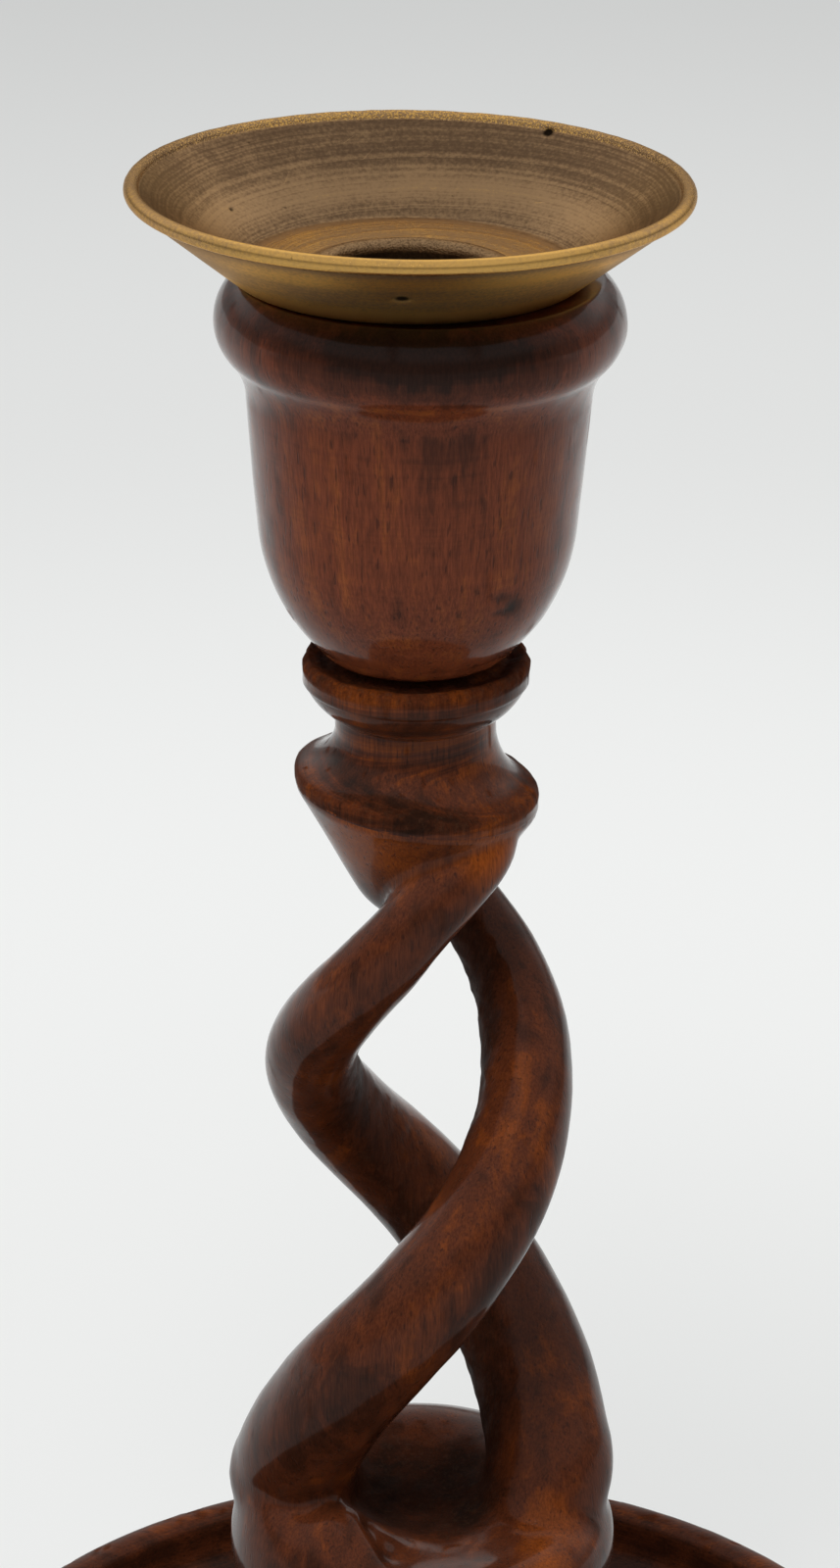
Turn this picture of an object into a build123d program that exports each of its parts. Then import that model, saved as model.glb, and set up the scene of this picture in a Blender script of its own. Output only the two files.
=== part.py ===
from build123d import *
import os
from math import cos, radians, sin

# Turned candlestick with an open double twist, in millimetres.
# +Z is up, and the origin is the centre of the baize face that rests on the table.

# Fits and cuts
SOCKET_CLEARANCE = 0.15  # radial, brass socket in its wooden bore
GLUE_CLEARANCE = 0.05  # radial, glued tenons and the screw
CUT_OVERRUN = 1.0  # every cut runs this far past the face it opens

# Baize pad
BAIZE_THICKNESS = 1.0
BAIZE_MARGIN = 2.0  # bare wood left round the pad

# Base dish
BASE_RIM_RADIUS = 60.0
BASE_RIM_WALL = 4.0
BASE_HEIGHT = 14.8
BASE_FLOOR_THICKNESS = 6.5
BASE_FOOT_RADIUS = 54.0
BASE_FOOT_STEP = 1.6
BASE_SIDE_HEIGHT = 3.4  # upright band under the rounded rim
BASE_COVE_RADIUS = 4.0  # inside, between floor and rim

# Wood screw
SCREW_HEAD_RADIUS = 4.0
SCREW_HEAD_HEIGHT = 2.2
SCREW_SHANK_RADIUS = 2.1
SCREW_LENGTH = 26.0
SCREW_TIP_LENGTH = 4.0
SCREW_TIP_RADIUS = 0.4
SCREW_SLOT_WIDTH = 1.0
SCREW_SLOT_DEPTH = 1.0

# Stem foot and lower tenon
FOOT_TENON_RADIUS = 8.0
FOOT_TENON_LENGTH = 3.5
PLINTH_RADIUS = 20.0
PLINTH_HEIGHT = 2.5
FOOT_BEAD_RADIUS = 19.0
FOOT_BEAD_HEIGHT = 6.0
LOWER_FILLET_RADIUS = 14.6
LOWER_FILLET_HEIGHT = 1.0
LOWER_NECK_RADIUS = 12.3
LOWER_NECK_HEIGHT = 10.0

# Bulb under the twist
BULB_RADIUS = 22.5
BULB_FOOT_RADIUS = 13.5
BULB_DROP = 18.0  # from the widest level down to the neck
BULB_RISE = 7.0  # from the widest level up to the rim of the hollow
BULB_SHOULDER_RADIUS = 20.4
BULB_SHOULDER_DROP = 3.0  # rounded over between the side and the hollow
HOLLOW_RADIUS = 12.5
HOLLOW_DEPTH = 4.8  # carved out between the strands

# Open twist: the two strands run from the ring level down to the bulb rim level
TWIST_HEIGHT = 87.3
TWIST_START_DEG = 147.5  # first strand at the ring level
TWIST_TURN_DEG = 325.0  # right-handed
TWIST_QUICKENING_SHARE = 0.34  # how much faster it turns at the top
STRAND_COUNT = 2
STRAND_STATIONS = 11
ORBIT_TOP = 8.4
ORBIT_MIDDLE = 12.95
ORBIT_BOTTOM = 14.8
STRAND_RADIUS_TOP = 3.4
STRAND_RADIUS_MIDDLE = 5.7
STRAND_RADIUS_BOTTOM = 7.5
TOE_DEPTHS = (8.5, 15.0)  # strand ends buried in the bulb, below its rim
TOE_ORBITS = (12.2, 9.0)
TOE_RADII = (6.6, 4.6)
TOE_TURNS_DEG = (20.0, 34.0)

# Ring and cone above the twist
RING_RADIUS = 13.4
RING_BAND = 0.6  # upright band at the widest level
CONE_SHOULDER_RADIUS = 12.5
CONE_SHOULDER_DROP = 3.0
CONE_END_RADIUS = 7.0
CONE_LENGTH = 8.2
CONE_TIP_LENGTH = 4.3

# Neck and collar
RING_SHOULDER_RADIUS = 12.2
RING_SHOULDER_RISE = 1.5
NECK_RADIUS = 8.8
NECK_COVE_HEIGHT = 5.6
NECK_BAND = 1.0
COLLAR_RADIUS = 12.35
COLLAR_UNDER_HEIGHT = 4.6
COLLAR_BAND = 1.9
COLLAR_TOP_RADIUS = 11.3
COLLAR_TOP_RISE = 1.3
CUP_TENON_RADIUS = 6.0
CUP_TENON_LENGTH = 12.0

# Candle cup
CUP_FOOT_RADIUS = 10.3
CUP_SHOULDER_RADIUS = 17.1
CUP_SHOULDER_HEIGHT = 14.5
CUP_BODY_RADIUS = 18.4  # just under the lip
CUP_BODY_HEIGHT = 29.1
LIP_RADIUS = 21.9
LIP_UNDER_RADIUS = 20.4
LIP_UNDER_RISE = 4.6  # cove from the body to the bead
LIP_WIDEST_RISE = 8.2
LIP_HEIGHT = 13.0
LIP_TOP_RADIUS = 19.4

# Drip pan
PAN_WALL = 1.2
PAN_FOOT_RADIUS = 18.0
PAN_FOOT_ROUND = 1.6
PAN_RIM_RADIUS = 29.1  # to the middle of the bead
PAN_RIM_HEIGHT = 9.4
PAN_BEAD_RADIUS = 0.75

# Candle socket
CANDLE_BORE_RADIUS = 9.6
SOCKET_WALL = 0.7
SOCKET_DEPTH = 20.0  # upright wall of the bore, down to the closed floor
SOCKET_LIP_RADIUS = 11.8
SOCKET_LIP_THICKNESS = 0.6
SOCKET_MOUTH_ROUND = 1.0
SOCKET_FLOOR_GAP = 1.5  # air under the socket in its wooden bore

# Levels up the stand
BASE_LEVEL = BAIZE_THICKNESS
FLOOR_LEVEL = BASE_LEVEL + BASE_FLOOR_THICKNESS
PLINTH_LEVEL = FLOOR_LEVEL + PLINTH_HEIGHT
FOOT_BEAD_LEVEL = PLINTH_LEVEL + FOOT_BEAD_HEIGHT
LOWER_NECK_LEVEL = FOOT_BEAD_LEVEL + LOWER_FILLET_HEIGHT
BULB_FOOT_LEVEL = LOWER_NECK_LEVEL + LOWER_NECK_HEIGHT
BULB_LEVEL = BULB_FOOT_LEVEL + BULB_DROP
BULB_RIM_LEVEL = BULB_LEVEL + BULB_RISE
RING_LEVEL = BULB_RIM_LEVEL + TWIST_HEIGHT
RING_SHOULDER_LEVEL = RING_LEVEL + RING_SHOULDER_RISE
NECK_LEVEL = RING_SHOULDER_LEVEL + NECK_COVE_HEIGHT
COLLAR_UNDER_LEVEL = NECK_LEVEL + NECK_BAND
COLLAR_LEVEL = COLLAR_UNDER_LEVEL + COLLAR_UNDER_HEIGHT
COLLAR_BAND_LEVEL = COLLAR_LEVEL + COLLAR_BAND
CUP_LEVEL = COLLAR_BAND_LEVEL + COLLAR_TOP_RISE
LIP_LEVEL = CUP_LEVEL + CUP_BODY_HEIGHT
PAN_LEVEL = LIP_LEVEL + LIP_HEIGHT
PAN_FLOOR_LEVEL = PAN_LEVEL + PAN_WALL
SOCKET_TOP_LEVEL = PAN_FLOOR_LEVEL + SOCKET_LIP_THICKNESS
SOCKET_FLOOR_LEVEL = SOCKET_TOP_LEVEL - SOCKET_MOUTH_ROUND - SOCKET_DEPTH

DOWN = (0, -1)
UP = (0, 1)
OUTWARD = (1, 0)
STANDING = (Align.CENTER, Align.CENTER, Align.MIN)


def turned(*edges):
    """Turn a closed outline of (radius, height) edges about the axis."""
    outline = make_face(Plane.XZ * (Curve() + list(edges)))
    return revolve(outline, Axis.Z)


def rod(radius, low, high):
    """Round rod on the axis between two levels."""
    return Pos(0, 0, low) * Cylinder(radius, high - low, align=STANDING)


def taper(low_radius, high_radius, low, high):
    """Cone frustum on the axis between two levels."""
    return Pos(0, 0, low) * Cone(low_radius, high_radius, high - low, align=STANDING)


def baize_pad():
    """Felt disc glued under the base."""
    return rod(BASE_FOOT_RADIUS - BAIZE_MARGIN, 0, BAIZE_THICKNESS)


def base_dish():
    """Saucer base with a rounded rim, a mortise for the stem and a countersunk screw hole."""
    rim_level = BASE_LEVEL + BASE_HEIGHT - BASE_RIM_WALL / 2
    rim_inner = BASE_RIM_RADIUS - BASE_RIM_WALL
    centre = (0, BASE_LEVEL)
    foot = (BASE_FOOT_RADIUS, BASE_LEVEL)
    step = (BASE_FOOT_RADIUS, BASE_LEVEL + BASE_FOOT_STEP)
    side_low = (BASE_RIM_RADIUS, rim_level - BASE_SIDE_HEIGHT)
    side_high = (BASE_RIM_RADIUS, rim_level)
    rim_top = (BASE_RIM_RADIUS - BASE_RIM_WALL / 2, BASE_LEVEL + BASE_HEIGHT)
    inner_high = (rim_inner, rim_level)
    inner_low = (rim_inner, FLOOR_LEVEL + BASE_COVE_RADIUS)
    floor_edge = (rim_inner - BASE_COVE_RADIUS, FLOOR_LEVEL)
    floor_centre = (0, FLOOR_LEVEL)
    body = turned(
        Polyline(centre, foot, step),
        TangentArc(side_low, step, tangent=DOWN),
        Line(side_low, side_high),
        ThreePointArc(side_high, rim_top, inner_high),
        Line(inner_high, inner_low),
        TangentArc(inner_low, floor_edge, tangent=DOWN),
        Polyline(floor_edge, floor_centre, centre),
    )
    mortise_floor = FLOOR_LEVEL - FOOT_TENON_LENGTH - GLUE_CLEARANCE
    mortise = rod(FOOT_TENON_RADIUS + GLUE_CLEARANCE, mortise_floor, FLOOR_LEVEL + CUT_OVERRUN)
    screw_hole = rod(SCREW_SHANK_RADIUS + GLUE_CLEARANCE, BASE_LEVEL, FLOOR_LEVEL)
    countersink = taper(
        SCREW_HEAD_RADIUS + GLUE_CLEARANCE,
        SCREW_SHANK_RADIUS + GLUE_CLEARANCE,
        BASE_LEVEL,
        BASE_LEVEL + SCREW_HEAD_HEIGHT,
    )
    return body - mortise - screw_hole - countersink


def base_screw():
    """Countersunk wood screw with a slotted head, driven up from under the base."""
    head_top = BASE_LEVEL + SCREW_HEAD_HEIGHT
    tip_level = BASE_LEVEL + SCREW_LENGTH
    shank_top = tip_level - SCREW_TIP_LENGTH
    head = taper(SCREW_HEAD_RADIUS, SCREW_SHANK_RADIUS, BASE_LEVEL, head_top)
    shank = rod(SCREW_SHANK_RADIUS, head_top, shank_top)
    tip = taper(SCREW_SHANK_RADIUS, SCREW_TIP_RADIUS, shank_top, tip_level)
    slot = Pos(0, 0, BASE_LEVEL) * Box(
        2 * (SCREW_HEAD_RADIUS + CUT_OVERRUN), SCREW_SLOT_WIDTH, 2 * SCREW_SLOT_DEPTH
    )
    return head + shank + tip - slot


def middle_curve(top, middle, bottom, share):
    """Value on the even curve through its top, middle and bottom values."""
    bend = 2 * (top + bottom - 2 * middle)
    return top + (bottom - top - bend) * share + bend * share * share


def twist_angle(share):
    """Angle of the first strand, in degrees, a share of the way down the twist."""
    turned_share = share + TWIST_QUICKENING_SHARE * share * (1 - share)
    return TWIST_START_DEG - TWIST_TURN_DEG * turned_share


def strand_points():
    """Centre points and radii of the first strand, from the ring down into the bulb."""
    points = []
    radii = []
    for station in range(STRAND_STATIONS):
        share = station / (STRAND_STATIONS - 1)
        orbit = middle_curve(ORBIT_TOP, ORBIT_MIDDLE, ORBIT_BOTTOM, share)
        angle = radians(twist_angle(share))
        points.append(Vector(orbit * cos(angle), orbit * sin(angle), RING_LEVEL - TWIST_HEIGHT * share))
        radii.append(middle_curve(STRAND_RADIUS_TOP, STRAND_RADIUS_MIDDLE, STRAND_RADIUS_BOTTOM, share))
    for depth, orbit, radius, turn in zip(TOE_DEPTHS, TOE_ORBITS, TOE_RADII, TOE_TURNS_DEG):
        angle = radians(twist_angle(1) - turn)
        points.append(Vector(orbit * cos(angle), orbit * sin(angle), BULB_RIM_LEVEL - depth))
        radii.append(radius)
    return points, radii


def strand():
    """One strand: round sections lofted square to a tapering helix, carried along it without twist."""
    points, radii = strand_points()
    path = Spline(*points)
    across = Vector(points[0].X, points[0].Y, 0)
    sections = []
    for point, radius in zip(points, radii):
        along = path.tangent_at(point)
        across -= along * across.dot(along)
        sections.append(Plane(origin=point, x_dir=across, z_dir=along) * Circle(radius))
    return loft(sections)


def stem_top():
    """Cone, ring, cove neck, collar and the tenon for the cup."""
    ring_low = RING_LEVEL - RING_BAND
    cone_tip = (0, ring_low - CONE_SHOULDER_DROP - CONE_LENGTH - CONE_TIP_LENGTH)
    cone_end = (CONE_END_RADIUS, ring_low - CONE_SHOULDER_DROP - CONE_LENGTH)
    cone_shoulder = (CONE_SHOULDER_RADIUS, ring_low - CONE_SHOULDER_DROP)
    ring_under = (RING_RADIUS, ring_low)
    ring = (RING_RADIUS, RING_LEVEL)
    ring_shoulder = (RING_SHOULDER_RADIUS, RING_SHOULDER_LEVEL)
    neck_low = (NECK_RADIUS, NECK_LEVEL)
    neck_high = (NECK_RADIUS, COLLAR_UNDER_LEVEL)
    collar_low = (COLLAR_RADIUS, COLLAR_LEVEL)
    collar_high = (COLLAR_RADIUS, COLLAR_BAND_LEVEL)
    collar_top = (COLLAR_TOP_RADIUS, CUP_LEVEL)
    tenon_foot = (CUP_TENON_RADIUS, CUP_LEVEL)
    tenon_edge = (CUP_TENON_RADIUS, CUP_LEVEL + CUP_TENON_LENGTH)
    tenon_end = (0, CUP_LEVEL + CUP_TENON_LENGTH)
    cone_side = Line(cone_shoulder, cone_end)
    return turned(
        TangentArc(cone_end, cone_tip, tangent=cone_side % 1),
        cone_side,
        TangentArc(ring_under, cone_shoulder, tangent=DOWN),
        Line(ring_under, ring),
        TangentArc(ring, ring_shoulder, tangent=UP),
        TangentArc(neck_low, ring_shoulder, tangent=DOWN),
        Line(neck_low, neck_high),
        TangentArc(collar_low, neck_high, tangent=DOWN),
        Line(collar_low, collar_high),
        TangentArc(collar_high, collar_top, tangent=UP),
        Polyline(collar_top, tenon_foot, tenon_edge, tenon_end, cone_tip),
    )


def stem_foot():
    """Tenon, plinth, bead, neck and the bulb with its hollow top."""
    tenon_centre = (0, FLOOR_LEVEL - FOOT_TENON_LENGTH)
    tenon_edge = (FOOT_TENON_RADIUS, FLOOR_LEVEL - FOOT_TENON_LENGTH)
    tenon_root = (FOOT_TENON_RADIUS, FLOOR_LEVEL)
    plinth_low = (PLINTH_RADIUS, FLOOR_LEVEL)
    plinth_high = (PLINTH_RADIUS, PLINTH_LEVEL)
    bead_middle = (FOOT_BEAD_RADIUS, PLINTH_LEVEL + FOOT_BEAD_HEIGHT / 2)
    bead_inner = FOOT_BEAD_RADIUS - FOOT_BEAD_HEIGHT / 2
    bead_low = (bead_inner, PLINTH_LEVEL)
    bead_high = (bead_inner, FOOT_BEAD_LEVEL)
    fillet_low = (LOWER_FILLET_RADIUS, FOOT_BEAD_LEVEL)
    fillet_high = (LOWER_FILLET_RADIUS, LOWER_NECK_LEVEL)
    neck_middle = (LOWER_NECK_RADIUS, LOWER_NECK_LEVEL + LOWER_NECK_HEIGHT / 2)
    bulb_foot = (BULB_FOOT_RADIUS, BULB_FOOT_LEVEL)
    bulb_widest = (BULB_RADIUS, BULB_LEVEL)
    shoulder = (BULB_SHOULDER_RADIUS, BULB_RIM_LEVEL - BULB_SHOULDER_DROP)
    hollow_rim = (HOLLOW_RADIUS, BULB_RIM_LEVEL)
    hollow_centre = (0, BULB_RIM_LEVEL - HOLLOW_DEPTH)
    bulb_side = TangentArc(bulb_widest, shoulder, tangent=UP)
    return turned(
        Polyline(tenon_centre, tenon_edge, tenon_root, plinth_low, plinth_high, bead_low),
        ThreePointArc(bead_low, bead_middle, bead_high),
        Polyline(bead_high, fillet_low, fillet_high),
        ThreePointArc(fillet_high, neck_middle, bulb_foot),
        TangentArc(bulb_widest, bulb_foot, tangent=DOWN),
        bulb_side,
        TangentArc(shoulder, hollow_rim, tangent=bulb_side % 1),
        TangentArc(hollow_centre, hollow_rim, tangent=OUTWARD),
        Line(hollow_centre, tenon_centre),
    )


def twist_stem():
    """The whole stem in one piece of wood, with a pilot hole for the screw."""
    first = strand()
    strands = [Rot(0, 0, number * 360 / STRAND_COUNT) * first for number in range(STRAND_COUNT)]
    stem = stem_foot() + [stem_top(), *strands]
    pilot = rod(
        SCREW_SHANK_RADIUS + GLUE_CLEARANCE,
        BASE_LEVEL,
        BASE_LEVEL + SCREW_LENGTH + CUT_OVERRUN,
    )
    return stem - pilot


def candle_cup():
    """Turned cup with a rounded lip, a bore for the socket and a mortise for the stem."""
    foot_centre = (0, CUP_LEVEL)
    foot = (CUP_FOOT_RADIUS, CUP_LEVEL)
    shoulder = (CUP_SHOULDER_RADIUS, CUP_LEVEL + CUP_SHOULDER_HEIGHT)
    body_top = (CUP_BODY_RADIUS, LIP_LEVEL)
    lip_under = (LIP_UNDER_RADIUS, LIP_LEVEL + LIP_UNDER_RISE)
    lip_widest = (LIP_RADIUS, LIP_LEVEL + LIP_WIDEST_RISE)
    lip_top = (LIP_TOP_RADIUS, PAN_LEVEL)
    top_centre = (0, PAN_LEVEL)
    side = Line(body_top, shoulder)
    lip_belly = TangentArc(lip_widest, lip_under, tangent=DOWN)
    body = turned(
        Line(foot_centre, foot),
        TangentArc(shoulder, foot, tangent=side % 1),
        side,
        TangentArc(lip_under, body_top, tangent=lip_belly % 1),
        lip_belly,
        TangentArc(lip_widest, lip_top, tangent=UP),
        Polyline(lip_top, top_centre, foot_centre),
    )
    bore_floor = SOCKET_FLOOR_LEVEL - SOCKET_WALL - SOCKET_FLOOR_GAP
    bore = rod(CANDLE_BORE_RADIUS + SOCKET_WALL + SOCKET_CLEARANCE, bore_floor, PAN_LEVEL + CUT_OVERRUN)
    mortise = rod(
        CUP_TENON_RADIUS + GLUE_CLEARANCE,
        CUP_LEVEL - CUT_OVERRUN,
        CUP_LEVEL + CUP_TENON_LENGTH + GLUE_CLEARANCE,
    )
    return body - bore - mortise


def drip_pan():
    """Brass dish with a sloping wall, a beaded rim and a hole for the socket."""
    wall_middle = PAN_LEVEL + PAN_WALL / 2
    rim_level = PAN_LEVEL + PAN_RIM_HEIGHT
    middle_line = FilletPolyline(
        (CANDLE_BORE_RADIUS, wall_middle),
        (PAN_FOOT_RADIUS, wall_middle),
        (PAN_RIM_RADIUS, rim_level),
        radius=PAN_FOOT_ROUND,
    )
    dish = turned(offset(middle_line, amount=PAN_WALL / 2, side=Side.BOTH))
    bead = revolve(Plane.XZ * Pos(PAN_RIM_RADIUS, rim_level) * Circle(PAN_BEAD_RADIUS), Axis.Z)
    hole = rod(CANDLE_BORE_RADIUS + SOCKET_WALL, PAN_LEVEL - CUT_OVERRUN, PAN_FLOOR_LEVEL + CUT_OVERRUN)
    return dish + bead - hole


def candle_socket():
    """Brass tube with a closed floor and a rounded lip over the hole of the pan."""
    outer = CANDLE_BORE_RADIUS + SOCKET_WALL
    under = SOCKET_FLOOR_LEVEL - SOCKET_WALL
    mouth_low = (CANDLE_BORE_RADIUS, SOCKET_TOP_LEVEL - SOCKET_MOUTH_ROUND)
    mouth_high = (CANDLE_BORE_RADIUS + SOCKET_MOUTH_ROUND, SOCKET_TOP_LEVEL)
    lip_low = (SOCKET_LIP_RADIUS, PAN_FLOOR_LEVEL)
    return turned(
        Polyline((0, under), (outer, under), (outer, PAN_FLOOR_LEVEL), lip_low),
        TangentArc(mouth_high, lip_low, tangent=OUTWARD),
        TangentArc(mouth_low, mouth_high, tangent=UP),
        Polyline(mouth_low, (CANDLE_BORE_RADIUS, SOCKET_FLOOR_LEVEL), (0, SOCKET_FLOOR_LEVEL), (0, under)),
    )


PIECES = {
    "baize_pad": baize_pad,
    "base_dish": base_dish,
    "base_screw": base_screw,
    "twist_stem": twist_stem,
    "candle_cup": candle_cup,
    "drip_pan": drip_pan,
    "candle_socket": candle_socket,
}

os.makedirs("parts", exist_ok=True)
for name, make in PIECES.items():
    export_step(make(), f"parts/{name}.step")
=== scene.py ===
"""Dressed model of a turned candlestick: brass drip pan, wooden cup, open double twist and dish base.

Sizes in the classes are millimetres, as in the part's source; meshes are put into Blender in metres.
"""

import logging
import math
from dataclasses import dataclass
from enum import Enum

import bpy
import numpy as np
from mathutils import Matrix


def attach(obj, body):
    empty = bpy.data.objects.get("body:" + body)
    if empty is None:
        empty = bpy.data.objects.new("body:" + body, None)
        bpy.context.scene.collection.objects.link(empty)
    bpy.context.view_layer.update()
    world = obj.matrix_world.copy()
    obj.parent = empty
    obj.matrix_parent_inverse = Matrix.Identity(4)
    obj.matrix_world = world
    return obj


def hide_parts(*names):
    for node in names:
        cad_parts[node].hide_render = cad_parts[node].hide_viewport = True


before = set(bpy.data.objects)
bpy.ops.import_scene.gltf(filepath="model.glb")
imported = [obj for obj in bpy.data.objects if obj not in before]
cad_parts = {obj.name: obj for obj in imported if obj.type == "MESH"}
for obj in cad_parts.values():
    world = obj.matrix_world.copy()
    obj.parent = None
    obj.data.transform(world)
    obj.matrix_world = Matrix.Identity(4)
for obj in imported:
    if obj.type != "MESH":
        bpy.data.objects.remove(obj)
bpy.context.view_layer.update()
LOG = logging.getLogger("candlestick")
MM = 0.001
PER_MM = (1000.0, 1000.0, 1000.0)
UP = (0.0, 1.0)
DOWN = (0.0, -1.0)
OUTWARD = (1.0, 0.0)
INWARD = (-1.0, 0.0)
Array = np.ndarray
Pair = tuple[float, float]
Triple = tuple[float, float, float]
Piece = bpy.types.Object
Mesh = bpy.types.Mesh
Material = bpy.types.Material
Tree = bpy.types.NodeTree
Socket = bpy.types.NodeSocket
Outputs = bpy.types.NodeOutputs


class Body(Enum):
    """The bodies that pieces ride on."""

    STAND = "stand"
    SCONCE = "sconce"


class Slot(Enum):
    """The material slots of the record."""

    PAN = "pan_brass"
    SOCKET = "socket_brass"
    CUP = "cup_wood"
    STEM = "stem_wood"
    BASE = "base_wood"
    BAIZE = "baize"


class Grain(Enum):
    """How the fibres of a wooden piece lie, as a turn that brings them upright."""

    UPRIGHT = (0.0, 0.0, 0.0)
    ACROSS = (0.0, math.pi / 2, 0.0)


@dataclass(frozen=True)
class LatticeNoise:
    """Smooth seeded noise over space."""

    seed: int  # Start of the random values.
    size: int = 48  # Lattice corners along each side before the values repeat.

    def at(self, points: Array, pitch: float | Triple) -> Array:
        """Noise between -1 and 1: random corner values blended by the eased shares 3t^2 - 2t^3.

        Args:
            points: Places, with x, y and z along the last axis.
            pitch: Lattice spacing, one for all axes or one for each.

        Returns:
            One value for each place.
        """
        lattice = np.random.default_rng(self.seed).uniform(-1.0, 1.0, (self.size,) * 3)
        place = points / np.asarray(pitch)
        cell = np.floor(place).astype(int)
        share = place - cell
        share = share * share * (3.0 - 2.0 * share)
        value = np.zeros(points.shape[:-1])
        for corner in np.ndindex(2, 2, 2):
            weight = np.prod(np.where(corner, share, 1.0 - share), axis=-1)
            x, y, z = np.moveaxis((cell + corner) % self.size, -1, 0)
            value += weight * lattice[x, y, z]
        return value


@dataclass(frozen=True)
class Blotch:
    """A stain, knot, pit or patch of painted shade on a surface, fading away from its middle."""

    place: Triple  # Middle of the blotch.
    reach: Triple  # Fading distance along x, y and z.
    tone: float  # Change of tone, above zero warmer and below zero darker.
    depth: float = 0.0  # How far the surface sinks at the middle.

    def share(self, points: Array) -> Array:
        """Strength exp(-d^2) at each point, with d the distance in reaches."""
        return np.exp(-np.sum(((points - self.place) / np.asarray(self.reach)) ** 2, axis=-1))


def tangent_arc(start: Array, end: Array, heading: Array, step: float) -> Array:
    """Points on the circular arc that leaves start along heading and ends at end.

    With chord c and the heading's left normal n, the radius is |c|^2 / (2 c.n), and the arc
    turns by twice the angle from the heading to the chord.

    Args:
        start: First point, which isn't repeated.
        end: Last point.
        heading: Direction at the start.
        step: Largest spacing of the points.

    Returns:
        Points after start, end included.
    """
    chord = end - start
    heading = heading / np.linalg.norm(heading)
    normal = np.array([-heading[1], heading[0]])
    side = chord @ normal
    sweep = 2.0 * math.atan2(side, chord @ heading)
    radius = chord @ chord / (2.0 * side)
    turn = sweep * np.linspace(0.0, 1.0, max(3, math.ceil(abs(radius * sweep) / step) + 1))[1:]
    centre = start + radius * normal
    arm = start - centre
    return np.stack(
        [
            centre[0] + np.cos(turn) * arm[0] - np.sin(turn) * arm[1],
            centre[1] + np.sin(turn) * arm[0] + np.cos(turn) * arm[1],
        ],
        axis=-1,
    )


class TurnedProfile:
    """Outline of a turned piece as (radius, height) points, walked with the wood on its left."""

    def __init__(self, radius: float, height: float, step: float) -> None:
        """Starts the outline at one point, with the largest spacing of its points."""
        self.step = step
        self.runs = [np.array([[radius, height]])]

    @property
    def count(self) -> int:
        """Number of points so far."""
        return sum(len(run) for run in self.runs)

    @property
    def points(self) -> Array:
        """All points of the outline."""
        return np.concatenate(self.runs)

    def line(self, radius: float, height: float) -> "TurnedProfile":
        """Goes straight to a point.

        Args:
            radius: Radius of the point.
            height: Height of the point.

        Returns:
            The same outline.
        """
        start = self.runs[-1][-1]
        end = np.array([radius, height])
        shares = np.linspace(0.0, 1.0, max(2, math.ceil(np.linalg.norm(end - start) / self.step) + 1))[1:]
        self.runs.append(start + shares[:, None] * (end - start))
        return self

    def arc(
        self, radius: float, height: float, leaving: Pair | None = None, arriving: Pair | None = None
    ) -> "TurnedProfile":
        """Goes round an arc to a point; the heading at one end is that at the other mirrored in the chord.

        Args:
            radius: End radius.
            height: End height.
            leaving: Heading at the start.
            arriving: Heading at the end, where the start's isn't given.

        Returns:
            The same outline.
        """
        start = self.runs[-1][-1]
        end = np.array([radius, height])
        if leaving is None:
            chord = (end - start) / np.linalg.norm(end - start)
            known = np.asarray(arriving) / np.linalg.norm(arriving)
            leaving = 2.0 * (known @ chord) * chord - known
        self.runs.append(tangent_arc(start, end, np.asarray(leaving, float), self.step))
        return self

    def through(self, middle: Pair, end: Pair) -> "TurnedProfile":
        """Goes round the circle through a middle point to an end point.

        Args:
            middle: Middle point.
            end: End point.

        Returns:
            The same outline.
        """
        start = self.runs[-1][-1]
        points = np.array([start, middle, end])
        squares = np.sum(points**2, axis=-1)
        centre = np.linalg.solve(2.0 * (points[1:] - start), squares[1:] - squares[0])
        arm = start - centre
        heading = np.array([-arm[1], arm[0]])
        heading *= np.sign(heading @ (points[1] - start))
        self.runs.append(tangent_arc(start, points[2], heading, self.step))
        return self


@dataclass
class Surface:
    """Points and faces of one skin."""

    points: Array  # Places of the corners.
    quads: Array  # Faces of four corners.
    fans: Array  # Faces of three corners, at poles and caps.

    def joined(self, other: "Surface") -> "Surface":
        """Both skins as one, the other's corners counted on from this one's.

        Args:
            other: The other skin.

        Returns:
            The joined skin.
        """
        shift = len(self.points)
        return Surface(
            np.concatenate([self.points, other.points]),
            np.concatenate([self.quads, other.quads + shift]),
            np.concatenate([self.fans, other.fans + shift]),
        )


def grid_quads(rows: int, columns: int, closed: bool) -> Array:
    """Faces of a grid of rows whose columns run round; a closed grid's last row meets its first.

    Args:
        rows: Number of rows.
        columns: Number of points in a row.
        closed: Whether the rows run round too.

    Returns:
        Corner numbers, four to a face.
    """
    row = np.arange(rows if closed else rows - 1)[:, None]
    column = np.arange(columns)[None, :]
    ahead = (row + 1) % rows
    beside = (column + 1) % columns
    corners = (
        row * columns + column,
        row * columns + beside,
        ahead * columns + beside,
        ahead * columns + column,
    )
    return np.stack([np.broadcast_to(c, (len(row), columns)) for c in corners], axis=-1).reshape(-1, 4)


def pole_fans(rows: int, columns: int) -> Array:
    """Faces that close the first row on the corner after the grid, and the last row on the one after that.

    Args:
        rows: Number of rows.
        columns: Number of points in a row.

    Returns:
        Corner numbers, three to a face.
    """
    column = np.arange(columns)
    beside = (column + 1) % columns
    last = (rows - 1) * columns
    first_pole = np.full(columns, rows * columns)
    low = np.stack([first_pole, beside, column], axis=-1)
    high = np.stack([last + column, last + beside, first_pole + 1], axis=-1)
    return np.concatenate([low, high])


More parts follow.
